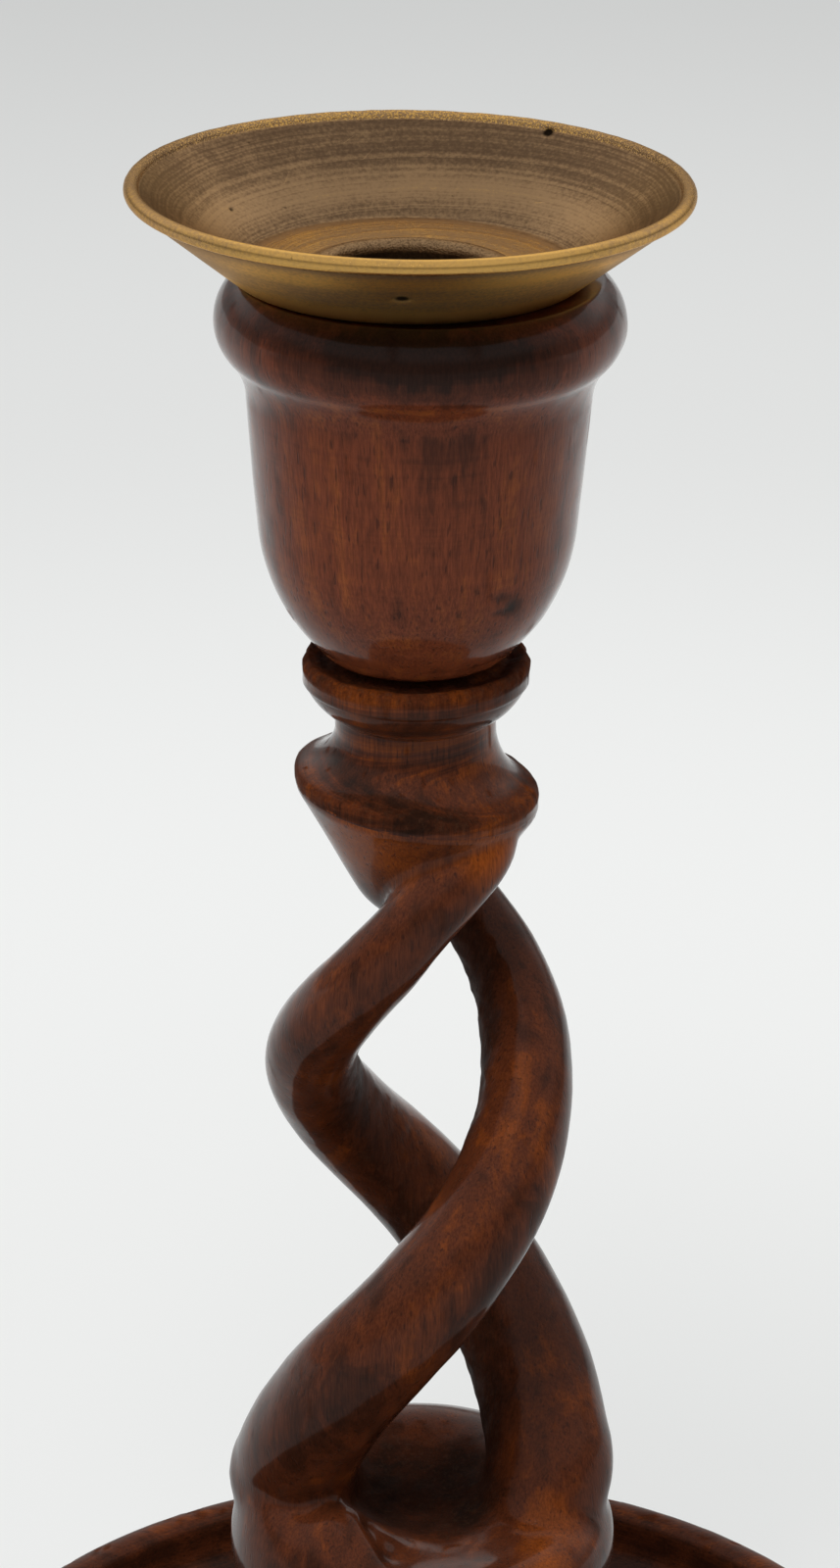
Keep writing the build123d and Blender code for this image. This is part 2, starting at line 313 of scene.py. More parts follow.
def turned_surface(profile: Array, columns: int) -> Surface:
    """Skin of a turned piece: (r cos a, r sin a, z) for each outline point (r, z) and angle a.

    An outline that starts and ends on the axis is closed by two poles; any other runs round.

    Args:
        profile: Outline points (radius, height).
        columns: Points round the axis.

    Returns:
        The closed skin.
    """
    poles = profile[0, 0] < 1e-6 and profile[-1, 0] < 1e-6
    rows = profile[1:-1] if poles else profile
    angle = np.linspace(0.0, 2.0 * math.pi, columns, endpoint=False)
    radius, height = rows[:, :1], rows[:, 1:]
    corners = np.broadcast_arrays(radius * np.cos(angle), radius * np.sin(angle), height)
    skin = np.stack(corners, axis=-1).reshape(-1, 3)
    if not poles:
        return Surface(skin, grid_quads(len(rows), columns, True), np.zeros((0, 3), int))
    ends = np.array([[0.0, 0.0, profile[0, 1]], [0.0, 0.0, profile[-1, 1]]])
    return Surface(
        np.concatenate([skin, ends]), grid_quads(len(rows), columns, False), pole_fans(len(rows), columns)
    )


def over_rows(values: Array, columns: int, poles: bool) -> Array:
    """One value for each outline point, carried round to every corner of a turned skin.

    Args:
        values: One value for each outline point.
        columns: Points round the axis.
        poles: Whether two poles close the skin.

    Returns:
        One value for each corner.
    """
    if not poles:
        return np.repeat(values, columns)
    return np.concatenate([np.repeat(values[1:-1], columns), values[[0, -1]]])


def swept_surface(path: Array, radii: Array, columns: int) -> Surface:
    """Skin of a round strand: point + radius (cos a across + sin a over) along a path, capped at its ends.

    The direction across starts radial and is carried along the path square to it, without twist.

    Args:
        path: Centre points, from the first end to the last.
        radii: Section radius at each centre point, one for each column or one for all.
        columns: Points round a section.

    Returns:
        The closed skin.
    """
    along = np.gradient(path, axis=0)
    along /= np.linalg.norm(along, axis=-1, keepdims=True)
    across = np.zeros_like(path)
    lead = path[0] * (1.0, 1.0, 0.0)
    for row, direction in enumerate(along):
        lead = lead - direction * (lead @ direction)
        lead = lead / np.linalg.norm(lead)
        across[row] = lead
    over = np.cross(along, across)
    angle = np.linspace(0.0, 2.0 * math.pi, columns, endpoint=False)[None, :, None]
    section = np.cos(angle) * across[:, None] + np.sin(angle) * over[:, None]
    skin = (path[:, None] + radii[..., None] * section).reshape(-1, 3)
    return Surface(
        np.concatenate([skin, path[[0, -1]]]),
        grid_quads(len(path), columns, False),
        pole_fans(len(path), columns),
    )


def mesh_of(name: str, surface: Surface) -> Mesh:
    """Blender mesh of a skin, in metres and shaded smooth.

    Args:
        name: Its name.
        surface: The skin.

    Returns:
        The mesh.
    """
    mesh = bpy.data.meshes.new(name)
    mesh.from_pydata((surface.points * MM).tolist(), [], surface.quads.tolist() + surface.fans.tolist())
    mesh.polygons.foreach_set("use_smooth", np.ones(len(mesh.polygons), bool))
    mesh.update()
    return mesh


def corner_normals(mesh: Mesh) -> Array:
    """Outward direction at each corner of a mesh.

    Args:
        mesh: The mesh.

    Returns:
        Unit vectors, one for each corner.
    """
    normals = np.zeros(len(mesh.vertices) * 3, np.float32)
    mesh.vertex_normals.foreach_get("vector", normals)
    return normals.reshape(-1, 3).astype(float)


def corner_places(mesh: Mesh) -> Array:
    """Place of each corner of a mesh, in millimetres.

    Args:
        mesh: The mesh.

    Returns:
        Places, one for each corner.
    """
    places = np.zeros(len(mesh.vertices) * 3, np.float32)
    mesh.vertices.foreach_get("co", places)
    return places.reshape(-1, 3).astype(float) / MM


def mesh_edges(mesh: Mesh) -> Array:
    """Pairs of corners joined by an edge.

    Args:
        mesh: The mesh.

    Returns:
        Corner numbers, two to an edge.
    """
    edges = np.zeros(len(mesh.edges) * 2, np.int32)
    mesh.edges.foreach_get("vertices", edges)
    return edges.reshape(-1, 2)


def neighbour_mean(values: Array, edges: Array) -> Array:
    """Mean of the values at the corners joined to each corner.

    Args:
        values: Values at the corners.
        edges: Pairs of joined corners.

    Returns:
        One mean for each corner.
    """
    near = np.concatenate([edges[:, 0], edges[:, 1]])
    far = np.concatenate([edges[:, 1], edges[:, 0]])
    count = np.bincount(near, minlength=len(values))
    sums = [np.bincount(near, weights=column[far], minlength=len(values)) for column in values.T]
    return np.stack(sums, axis=-1) / count[:, None]


def place_corners(mesh: Mesh, places: Array) -> None:
    """Moves the corners of a mesh to places in millimetres."""
    mesh.vertices.foreach_set("co", (places * MM).astype(np.float32).ravel())
    mesh.update()


def eased(values: Array, low: float, high: float) -> Array:
    """Rises smoothly from 0 at low to 1 at high: 3t^2 - 2t^3."""
    share = held((values - low) / (high - low))
    return share * share * (3.0 - 2.0 * share)


def plateau(values: Array, levels: tuple[float, ...]) -> Array:
    """Rises smoothly from 0 to 1 between the first two levels and falls back between the last two."""
    return eased(values, *levels[:2]) * (1.0 - eased(values, *levels[2:]))


def bell(values: Array, centre: float, reach: float) -> Array:
    """Falls from 1 at the centre to both sides: exp(-d^2), with d the distance in reaches."""
    return np.exp(-(((values - centre) / reach) ** 2))


def held(values: Array) -> Array:
    """Values held between 0 and 1."""
    return np.clip(values, 0.0, 1.0)


def from_axis(points: Array) -> Array:
    """Distance of each point from the axis."""
    return np.hypot(points[:, 0], points[:, 1])


def blotched(points: Array, blotches: tuple[Blotch, ...]) -> tuple[Array, Array]:
    """Tone and depth that blotches give each point, added up.

    Args:
        points: The points.
        blotches: The blotches.

    Returns:
        Tones and depths, one for each point.
    """
    shares = np.stack([blotch.share(points) for blotch in blotches], axis=-1)
    tones = np.array([blotch.tone for blotch in blotches])
    depths = np.array([blotch.depth for blotch in blotches])
    return shares @ tones, shares @ depths


@dataclass(frozen=True)
class Standing:
    """What a piece is to the CAD model."""

    body: Body  # The body that it rides on.
    slot: Slot  # The material slot of its finish.
    node: str  # The CAD node that it stands for.


def set_piece(name: str, mesh: Mesh, standing: Standing, masks: dict[str, Array]) -> Piece:
    """Puts a piece into the scene in place of a CAD node.

    Args:
        name: Name of the piece.
        mesh: Its mesh, in place.
        standing: What it is to the CAD model.
        masks: Numbers for its finish, one for each corner, by name.

    Returns:
        The piece.
    """
    for label, values in masks.items():
        attribute = mesh.attributes.new(label, "FLOAT", "POINT")
        attribute.data.foreach_set("value", values.astype(np.float32))
    piece = bpy.data.objects.new(name, mesh)
    bpy.context.scene.collection.objects.link(piece)
    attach(piece, standing.body.value)
    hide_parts(standing.node)
    LOG.info("%s: %d corners, %d faces", name, len(mesh.vertices), len(mesh.polygons))
    return piece


@dataclass(frozen=True)
class HandTurning:
    """Small departures of the hand-made stand from a true axis."""

    drifts: tuple[Pair, ...] = (  # Levels up the stand, each with the sideways drift of the axis there.
        (0.0, 0.25),
        (15.0, 0.25),
        (52.0, 0.1),
        (80.0, 0.0),
        (100.0, -0.2),
        (120.0, -0.35),
        (139.0, -0.5),
        (147.0, -0.65),
        (152.0, -0.6),
        (160.0, -0.45),
        (176.0, -0.35),
        (190.0, -0.15),
        (200.0, -0.1),
    )
    top_slopes: Pair = (0.013, 0.0138)  # Fall of the cup's top and the pan along x and y.
    top_rise: float = 0.35  # How far the middle of the cup's top stands proud.
    top_levels: Pair = (172.0, 196.0)  # Levels between which slope and rise come in.
    ring_slope: float = 0.085  # Fall of the ring along x.
    ring_level: float = 138.5  # Level of the ring.
    ring_reach: float = 7.0  # How far up and down its slope fades.

    def lift(self, points: Array) -> Array:
        """Height that the sloping top adds at each point: rise - x slope - y slope."""
        return self.top_rise - self.top_slopes[0] * points[:, 0] - self.top_slopes[1] * points[:, 1]

    def settled(self, points: Array) -> Array:
        """Points of the stand, drifted by height, with the ring and the cup's top sloping.

        Args:
            points: The points.

        Returns:
            The moved points.
        """
        moved = points.copy()
        moved[:, 0] += np.interp(points[:, 2], *zip(*self.drifts))
        moved[:, 2] -= self.ring_slope * points[:, 0] * bell(points[:, 2], self.ring_level, self.ring_reach)
        moved[:, 2] += self.lift(points) * eased(points[:, 2], *self.top_levels)
        return moved


class NodeBench:
    """Places and wires the nodes of one shader tree."""

    def __init__(self, tree: Tree) -> None:
        """Takes the tree to work on."""
        self.tree = tree

    def node(self, kind: str, inputs: dict | None = None, **settings: object) -> bpy.types.Node:
        """Adds a node.

        Args:
            kind: Blender's type name.
            inputs: Values or sockets for its inputs, by name or number.
            settings: Its other properties.

        Returns:
            The node.
        """
        node = self.tree.nodes.new(kind)
        for name, value in settings.items():
            setattr(node, name, value)
        for key, value in (inputs or {}).items():
            if isinstance(value, Socket):
                self.tree.links.new(value, node.inputs[key])
            else:
                node.inputs[key].default_value = value
        return node

    def place(self) -> Socket:
        """Place on the piece, in metres."""
        return self.node("ShaderNodeTexCoord").outputs["Object"]

    def mask(self, name: str) -> Socket:
        """Numbers that a mesh carries under a name."""
        return self.node("ShaderNodeAttribute", attribute_name=name).outputs["Fac"]

    def effect(self, group: Tree, inputs: dict) -> Outputs:
        """Outputs of a shared effect, placed with its own values."""
        return self.node("ShaderNodeGroup", node_tree=group, inputs=inputs).outputs

    def math(self, operation: str, first: object, second: object = 0.0, clamp: bool = False) -> Socket:
        """Result of a Math node on two sockets or numbers."""
        inputs = {0: first, 1: second}
        return self.node("ShaderNodeMath", inputs, operation=operation, use_clamp=clamp).outputs[0]

    def add(self, first: object, second: object, clamp: bool = False) -> Socket:
        """First plus second."""
        return self.math("ADD", first, second, clamp)

    def minus(self, first: object, second: object, clamp: bool = False) -> Socket:
        """First less second."""
        return self.math("SUBTRACT", first, second, clamp)

    def times(self, first: object, second: object, clamp: bool = False) -> Socket:
        """First times second."""
        return self.math("MULTIPLY", first, second, clamp)

    def larger(self, first: object, second: object) -> Socket:
        """The larger of two."""
        return self.math("MAXIMUM", first, second)

    def vector(self, operation: str, inputs: dict, output: str = "Vector") -> Socket:
        """Result of a Vector Math node."""
        return self.node("ShaderNodeVectorMath", inputs, operation=operation).outputs[output]

    def stretched(self, place: object, factors: Triple) -> Socket:
        """Places multiplied along each axis."""
        return self.vector("MULTIPLY", {0: place, 1: factors})

    def length(self, place: object) -> Socket:
        """Distance of places from the origin."""
        return self.vector("LENGTH", {0: place}, "Value")

    def axes(self, place: object) -> Outputs:
        """The three parts of a place or direction."""
        return self.node("ShaderNodeSeparateXYZ", {0: place}).outputs

    def noise(self, place: object, scale: float, detail: float = 2.0, roughness: float = 0.5) -> Socket:
        """Values of a noise texture."""
        inputs = {"Vector": place, "Scale": scale, "Detail": detail, "Roughness": roughness}
        return self.node("ShaderNodeTexNoise", inputs).outputs[0]

    def range(self, value: object, low: float, high: float, start: float = 0.0, end: float = 1.0) -> Socket:
        """A value carried smoothly from low and high to start and end, and held there."""
        inputs = {0: value, 1: low, 2: high, 3: start, 4: end}
        return self.node("ShaderNodeMapRange", inputs, interpolation_type="SMOOTHSTEP").outputs[0]

    def straight(self, value: object, low: float, high: float, start: object, end: object) -> Socket:
        """A value carried evenly from low and high to start and end, and held there."""
        return self.node("ShaderNodeMapRange", {0: value, 1: low, 2: high, 3: start, 4: end}).outputs[0]

    def mix(self, share: object, first: object, second: object, blend: str = "MIX") -> Socket:
        """Mixture of two colours."""
        inputs = {0: share, 6: first, 7: second}
        return self.node("ShaderNodeMix", inputs, data_type="RGBA", blend_type=blend).outputs[2]

    def ramp(self, share: object, stops: list[tuple[float, Triple]]) -> Socket:
        """Colour ramp over a list of (share, colour) stops.

        Args:
            share: Where on the ramp a point is.
            stops: The stops.

        Returns:
            The colour.
        """
        node = self.node("ShaderNodeValToRGB", {0: share})
        node.color_ramp.interpolation = "EASE"
        elements = node.color_ramp.elements
        for extra in range(len(stops) - 2):
            elements.new((extra + 1) / (len(stops) - 1))
        for element, (position, colour) in zip(elements, stops):
            element.position = position
            element.color = (*colour, 1.0)
        return node.outputs[0]

    def bump(self, strength: float, distance: float, height: Socket) -> Socket:
        """Normals of a fine relief."""
        inputs = {"Strength": strength, "Distance": distance, "Height": height}
        return self.node("ShaderNodeBump", inputs).outputs[0]

    def principled(self, inputs: dict) -> None:
        """Adds the shader of a finish and puts it out."""
        self.put_out(self.node("ShaderNodeBsdfPrincipled", inputs))

    def put_out(self, shader: bpy.types.Node, kind: str = "ShaderNodeOutputMaterial") -> None:
        """Gives a shader to the tree's output node."""
        self.node(kind, {0: shader.outputs[0]})


def new_group(name: str, numbers: dict[str, float], outputs: tuple[str, ...]) -> tuple[NodeBench, Outputs]:
    """Starts a shader node group that takes a place and numbers and puts out numbers.

    Args:
        name: Name of the effect.
        numbers: Starting value of each number that it takes beside the place, which is Vector.
        outputs: Names of the outputs.

    Returns:
        The bench to build it on and what the group is given.
    """
    tree = bpy.data.node_groups.new(name, "ShaderNodeTree")
    tree.interface.new_socket("Vector", in_out="INPUT", socket_type="NodeSocketVector")
    for label, value in numbers.items():
        socket = tree.interface.new_socket(label, in_out="INPUT", socket_type="NodeSocketFloat")
        socket.default_value = value
    for label in outputs:
        tree.interface.new_socket(label, in_out="OUTPUT", socket_type="NodeSocketFloat")
    bench = NodeBench(tree)
    return bench, bench.node("NodeGroupInput").outputs


class Effects:
    """Effects that more than one finish uses, each a node group built once."""

    def __init__(self) -> None:
        """Builds the groups."""
        self.wood_grain = self.make_wood_grain()
        self.turning_lines = self.make_turning_lines()
        self.settled_dust = self.make_settled_dust()
        self.scuffs = self.make_scuffs()

    @staticmethod
    def make_wood_grain() -> Tree:
        """Figure, fibre, pores and height of wood whose fibres run along z.

        Figure is about zero: long streaks, growth rings about a pith and soft clouds, each with its own
        weight; fibre and pores are noise drawn out along z; height is the fibre less the pores.

        Returns:
            The group.
        """
        numbers = {"Ring Scale": 0.12, "Streaks": 0.4, "Rings": 0.1, "Clouds": 0.4}
        bench, given = new_group("wood_grain", numbers, ("Figure", "Fibre", "Pore", "Height"))
        place = bench.stretched(given["Vector"], PER_MM)
        drawn, ring_place, cloud_place, pore_place = (
            bench.stretched(place, (1.0, 1.0, draw)) for draw in (0.05, 0.12, 0.55, 0.14)
        )
        rings = bench.node(
            "ShaderNodeTexWave",
            {
                "Vector": ring_place,
                "Scale": given["Ring Scale"],
                "Distortion": 4.0,
                "Detail": 3.0,
                "Detail Scale": 0.5,
                "Detail Roughness": 0.6,
            },
            wave_type="RINGS",
            rings_direction="Z",
            wave_profile="SIN",
        ).outputs["Fac"]
        streaks = bench.noise(drawn, 0.55, 5.0, 0.6)
        clouds = bench.node(
            "ShaderNodeTexNoise",
            {"Vector": cloud_place, "Scale": 0.2, "Detail": 7.0, "Roughness": 0.66, "Distortion": 1.1},
        ).outputs[0]
        fibre = bench.noise(drawn, 4.2, 3.0, 0.7)
        pores = bench.range(bench.noise(pore_place, 2.8, 1.0, 0.4), 0.63, 0.72)
        streaked, ringed, clouded = (
            bench.times(bench.minus(pattern, 0.5), given[weight])
            for pattern, weight in ((streaks, "Streaks"), (rings, "Rings"), (clouds, "Clouds"))
        )
        figure = bench.add(bench.add(streaked, ringed), clouded)
        height = bench.minus(bench.times(fibre, 0.55), bench.times(pores, 0.6))
        bench.node("NodeGroupOutput", {"Figure": figure, "Fibre": fibre, "Pore": pores, "Height": height})
        return bench.tree

    @staticmethod
    def make_turning_lines() -> Tree:
        """Fine rings left by the turning tool: noise over radius and height, broken a little round the axis.

        Returns:
            The group.
        """
        bench, given = new_group("turning_lines", {"Pitch": 0.5}, ("Line", "Height"))
        place = bench.stretched(given["Vector"], PER_MM)
        radius = bench.length(bench.stretched(place, (1.0, 1.0, 0.0)))
        walk = bench.add(bench.times(radius, 0.8), bench.times(bench.axes(place)["Z"], 0.6))
        sway = bench.times(bench.noise(place, 0.16, 1.0), 0.5)
        step = bench.math("DIVIDE", bench.add(walk, sway), given["Pitch"])
        ring_place = bench.node("ShaderNodeCombineXYZ", {0: step}).outputs[0]
        broken = bench.vector("ADD", {0: ring_place, 1: bench.stretched(place, (0.018, 0.018, 0.0))})
        coarse = bench.noise(broken, 0.55, 2.0, 0.55)
        fine = bench.noise(broken, 2.1, 3.0, 0.7)
        line = bench.add(bench.times(coarse, 0.6), bench.times(fine, 0.4))
        bench.node("NodeGroupOutput", {"Line": bench.range(line, 0.32, 0.68), "Height": line})
        return bench.tree

    @staticmethod
    def make_settled_dust() -> Tree:
        """Dust that lies on faces turned upwards: the square of the normal's z, broken up by noise.

        Returns:
            The group.
        """
        bench, given = new_group("settled_dust", {"Amount": 0.5}, ("Mask",))
        normal = bench.node("ShaderNodeNewGeometry").outputs["Normal"]
        rise = bench.larger(bench.axes(normal)["Z"], 0.0)
        specks = bench.range(bench.noise(given["Vector"], 1500.0, 4.0, 0.7), 0.42, 0.75)
        drift = bench.range(bench.noise(given["Vector"], 130.0, 3.0, 0.6), 0.3, 0.75)
        lying = bench.times(bench.times(rise, rise), bench.times(specks, drift))
        bench.node("NodeGroupOutput", {"Mask": bench.times(lying, given["Amount"], clamp=True)})
        return bench.tree

    @staticmethod
    def make_scuffs() -> Tree:
        """Handling marks: thin noise contours as scratches, and rubbed patches with their own edge.

        Returns:
            The group.
        """
        bench, given = new_group("scuffs", {"Size": 100.0}, ("Scratch", "Rub"))
        lines = bench.noise(bench.stretched(given["Vector"], (1.0, 0.55, 0.8)), 260.0, 1.0, 0.4)
        thin = bench.math("ABSOLUTE", bench.minus(lines, 0.5))
        sparse = bench.range(bench.noise(given["Vector"], 190.0, 2.0), 0.6, 0.68)
        scratch = bench.times(bench.range(thin, 0.0, 0.006, 1.0, 0.0), sparse)
        scaled = bench.vector("SCALE", {0: given["Vector"], "Scale": given["Size"]})
        band_change = bench.range(bench.noise(scaled, 1.0, 6.0, 0.62), 0.45, 0.66)
        bench.node("NodeGroupOutput", {"Scratch": scratch, "Rub": band_change})
        return bench.tree


def new_material(name: str) -> tuple[Material, NodeBench]:
    """An empty material and a bench for its nodes.

    Args:
        name: Its name.

    Returns:
        The material and the bench.
    """
    material = bpy.data.materials.new(name)
    material.use_nodes = True
    material.node_tree.nodes.clear()
    return material, NodeBench(material.node_tree)


@dataclass(frozen=True)
class WoodFinish:
    """Stained and waxed hardwood."""

    name: str  # Name of the finish.
    grain: Grain  # How the fibres lie.
    pith: Triple  # Shift that puts the middle of the growth rings beside the piece, in metres.
    dark: Triple = (0.016, 0.0058, 0.003)  # Colour of the dark figure.
    middle: Triple = (0.066, 0.0163, 0.0055)  # Main colour.
    warm: Triple = (0.17, 0.038, 0.0042)  # Colour where the stain is thin.
    ring_scale: float = 0.1  # Closeness of the growth rings.
    streaks: float = 0.7  # Strength of the long streaks.
    rings: float = 0.1  # Strength of the growth rings.
    clouds: float = 0.5  # Strength of the soft mottling.
    dust: float = 0.3  # Amount of settled dust.
    line_pitch: float = 0.7  # Spacing of the turning marks.
    splinter: Triple = (0.1, 0.047, 0.024)  # Colour of fibres that stand up where the wood is torn.
    gouge: Triple = (0.01, 0.005, 0.003)  # Colour of the holes between them.
    dust_colour: Triple = (0.2, 0.16, 0.13)  # Colour of the dust.

    @staticmethod
    def between(first: Triple, second: Triple, share: float) -> Triple:
        """Colour a share of the way from the first to the second."""
        return tuple(a + (b - a) * share for a, b in zip(first, second))

    def material(self, effects: Effects) -> Material:
        """Builds the finish: grain and the tone mask, which carries stains and painted shade, set the colour;
        pores, tool marks and torn fibres the bump.

        Args:
            effects: The shared node groups.

        Returns:
            The material.
        """
        material, bench = new_material(self.name)
        place = bench.place()
        laid = bench.node(
            "ShaderNodeMapping", {"Vector": place, "Location": self.pith, "Rotation": self.grain.value}
        ).outputs[0]
        figured = {"Streaks": self.streaks, "Rings": self.rings, "Clouds": self.clouds}
        grain = bench.effect(effects.wood_grain, {"Vector": laid, "Ring Scale": self.ring_scale, **figured})
        lines = bench.effect(effects.turning_lines, {"Vector": place, "Pitch": self.line_pitch})
        dust = bench.effect(effects.settled_dust, {"Vector": place, "Amount": self.dust})
        scuffs = bench.effect(effects.scuffs, {"Vector": place, "Size": 160.0})
        tone, torn, wear_and_painted_light, turned = (bench.mask(name) for name in ("tone", "torn", "wear_and_painted_light", "turned"))
        share = bench.add(bench.add(grain["Figure"], 0.5), bench.times(tone, 0.45))
        share = bench.add(share, bench.times(wear_and_painted_light, bench.range(scuffs["Rub"], 0.0, 1.0, -0.03, 0.16)))
        marks = bench.times(turned, bench.range(lines["Line"], 0.0, 1.0, -0.2, 0.11))
        share = bench.add(share, marks, clamp=True)
        stops = [
            (0.0, self.dark),
            (0.27, self.between(self.dark, self.middle, 0.4)),
            (0.5, self.middle),
            (0.76, self.between(self.middle, self.warm, 0.55)),
            (1.0, self.warm),
        ]
        colour = bench.ramp(share, stops)
        colour = bench.mix(bench.times(grain["Pore"], 0.5), colour, (*self.dark, 1.0))
        shade = bench.range(grain["Fibre"], 0.3, 0.7, 0.73, 1.27)
        shading = bench.node("ShaderNodeCombineXYZ", {0: shade, 1: shade, 2: shade}).outputs[0]
        colour = bench.mix(1.0, colour, shading, "MULTIPLY")
        ragged = bench.noise(bench.stretched(place, (1.0, 1.0, 0.6)), 1500.0, 5.0, 0.75)
        tear = bench.times(torn, bench.range(ragged, 0.5, 0.68))
        gouged = bench.times(torn, bench.range(ragged, 0.46, 0.34))
        layers = (
            (tear, 0.4, self.splinter),
            (gouged, 0.7, self.gouge),
            (dust["Mask"], 0.4, self.dust_colour),
        )
        for where, strength, layer in layers:
            colour = bench.mix(bench.times(where, strength), colour, (*layer, 1.0))
        roughness = bench.range(grain["Fibre"], 0.2, 0.8, 0.3, 0.44)
        roughness = bench.add(roughness, bench.times(torn, 0.5))
        roughness = bench.add(roughness, bench.times(scuffs["Rub"], 0.07), clamp=True)
        height = bench.add(bench.times(grain["Height"], 0.4), bench.times(tear, 1.3))
        height = bench.add(height, bench.times(bench.times(lines["Height"], turned), 0.9))
        height = bench.minus(height, bench.times(scuffs["Scratch"], 0.4))
        bench.principled(
            {
                "Base Color": colour,
                "Roughness": roughness,
                "Coat Weight": bench.range(torn, 0.0, 0.4, 1.0, 0.0),
                "Coat Roughness": 0.1,
                "Coat IOR": 1.25,
                "Specular IOR Level": 0.06,
                "Normal": bench.bump(0.45, 0.0002, height),
            }
        )
        return material


@dataclass(frozen=True)
class BrassFinish:
    """Turned brass, browned by age and bright where it is rubbed or given a painted highlight."""

    name: str  # Name of the finish.
    bright: Triple = (0.92, 0.54, 0.155)  # Colour of rubbed metal, and of painted highlights.
    worn: Triple = (0.43, 0.267, 0.138)  # Colour of metal that is part rubbed.
    aged: Triple = (0.165, 0.099, 0.056)  # Colour of browned metal.
    line_pitch: float = 0.3  # Spacing of the turning lines.
    smooth: float = 0.24  # Roughness of the rubbed metal.
    dull: float = 0.36  # Roughness of the browned metal.
    pit: Triple = (0.02, 0.013, 0.008)  # Colour of casting pits and soot.
    speck: Triple = (0.07, 0.042, 0.02)  # Colour of tarnish specks.
    dust_colour: Triple = (0.34, 0.27, 0.19)  # Colour of settled dust.
    edge_tint: Triple = (0.78, 0.64, 0.48)  # Tint of the metal where it is seen at a low angle.

    def material(self, effects: Effects) -> Material:
        """Builds the finish: turning lines, rubbing and painted highlights mix the three colours, pits are
        dark.

        Args:
            effects: The shared node groups.

        Returns:
            The material.
        """
        material, bench = new_material(self.name)
        place = bench.place()
        lines = bench.effect(effects.turning_lines, {"Vector": place, "Pitch": self.line_pitch})
        dust = bench.effect(effects.settled_dust, {"Vector": place, "Amount": 0.35})
        scuffs = bench.effect(effects.scuffs, {"Vector": place, "Size": 120.0})
        masks = ("wear_and_painted_light", "tone", "turned", "torn", "under")
        wear_and_painted_light, tone, turned, rough, under = (bench.mask(name) for name in masks)
        grit = bench.noise(place, 2400.0, 3.0, 0.65)
        grain = bench.times(bench.range(bench.noise(place, 5200.0, 1.0, 0.5), 0.42, 0.58), rough)
        share = bench.add(bench.times(bench.times(lines["Line"], turned), 0.24), wear_and_painted_light)
        share = bench.add(share, bench.range(scuffs["Rub"], 0.0, 1.0, -0.03, 0.05))
        share = bench.add(share, bench.range(grit, 0.3, 0.7, -0.08, 0.1))
        share = bench.add(share, bench.times(scuffs["Scratch"], 0.3), clamp=True)
        share = bench.minus(share, bench.times(grain, 0.45), clamp=True)
        colour = bench.ramp(share, [(0.0, self.aged), (0.45, self.worn), (1.0, self.bright)])
        pitted = bench.range(tone, -0.15, -0.7)
        specked = bench.times(bench.range(bench.noise(place, 900.0, 3.0, 0.6), 0.7, 0.76), 0.6)
        dusty = bench.times(dust["Mask"], 0.3)
        for where, layer in ((pitted, self.pit), (specked, self.speck), (dusty, self.dust_colour)):
            colour = bench.mix(where, colour, (*layer, 1.0))
        roughness = bench.range(share, 0.0, 1.0, self.dull, self.smooth)
        roughness = bench.add(roughness, bench.times(under, 0.12))
        roughness = bench.add(roughness, bench.times(pitted, 0.3), clamp=True)
        height = bench.times(bench.times(lines["Height"], turned), 0.9)
        height = bench.add(height, bench.times(grit, bench.range(rough, 0.0, 1.0, 0.1, 0.5)))
        height = bench.minus(height, bench.times(scuffs["Scratch"], 0.3))
        height = bench.minus(height, bench.times(grain, 3.0))
        bench.principled(
            {
                "Base Color": colour,
                "Metallic": 0.96,
                "Specular Tint": (*self.edge_tint, 1.0),
                "Roughness": roughness,
                "Specular IOR Level": 0.2,
                "Normal": bench.bump(0.35, 0.00012, height),
            }
        )
        return material


@dataclass(frozen=True)
class FeltFinish:
    """Green baize with a short nap."""

    name: str = "green_baize"  # Name of the finish.
    light: Triple = (0.05, 0.14, 0.06)  # Colour of the nap's tips.
    deep: Triple = (0.014, 0.05, 0.022)  # Colour between the fibres.
    dust_colour: Triple = (0.25, 0.25, 0.22)  # Colour of settled dust.

    def material(self, effects: Effects) -> Material:
        """Builds the finish: matted fibre noise mixes the two greens and lifts the nap.

        Args:
            effects: The shared node groups.

        Returns:
            The material.
        """
        material, bench = new_material(self.name)
        place = bench.place()
        dust = bench.effect(effects.settled_dust, {"Vector": place, "Amount": 0.2})
        matted = bench.noise(bench.stretched(place, (1.0, 0.5, 1.0)), 3200.0, 5.0, 0.75)
        cloud = bench.noise(place, 90.0, 3.0)
        share = bench.range(bench.add(bench.times(matted, 0.7), bench.times(cloud, 0.3)), 0.35, 0.65)
        colour = bench.mix(share, (*self.deep, 1.0), (*self.light, 1.0))
        bench.principled(
            {
                "Base Color": bench.mix(dust["Mask"], colour, (*self.dust_colour, 1.0)),
                "Roughness": 0.95,
                "Sheen Weight": 0.5,
                "Sheen Roughness": 0.5,
                "Normal": bench.bump(0.8, 0.0003, matted),
            }
        )
        return material


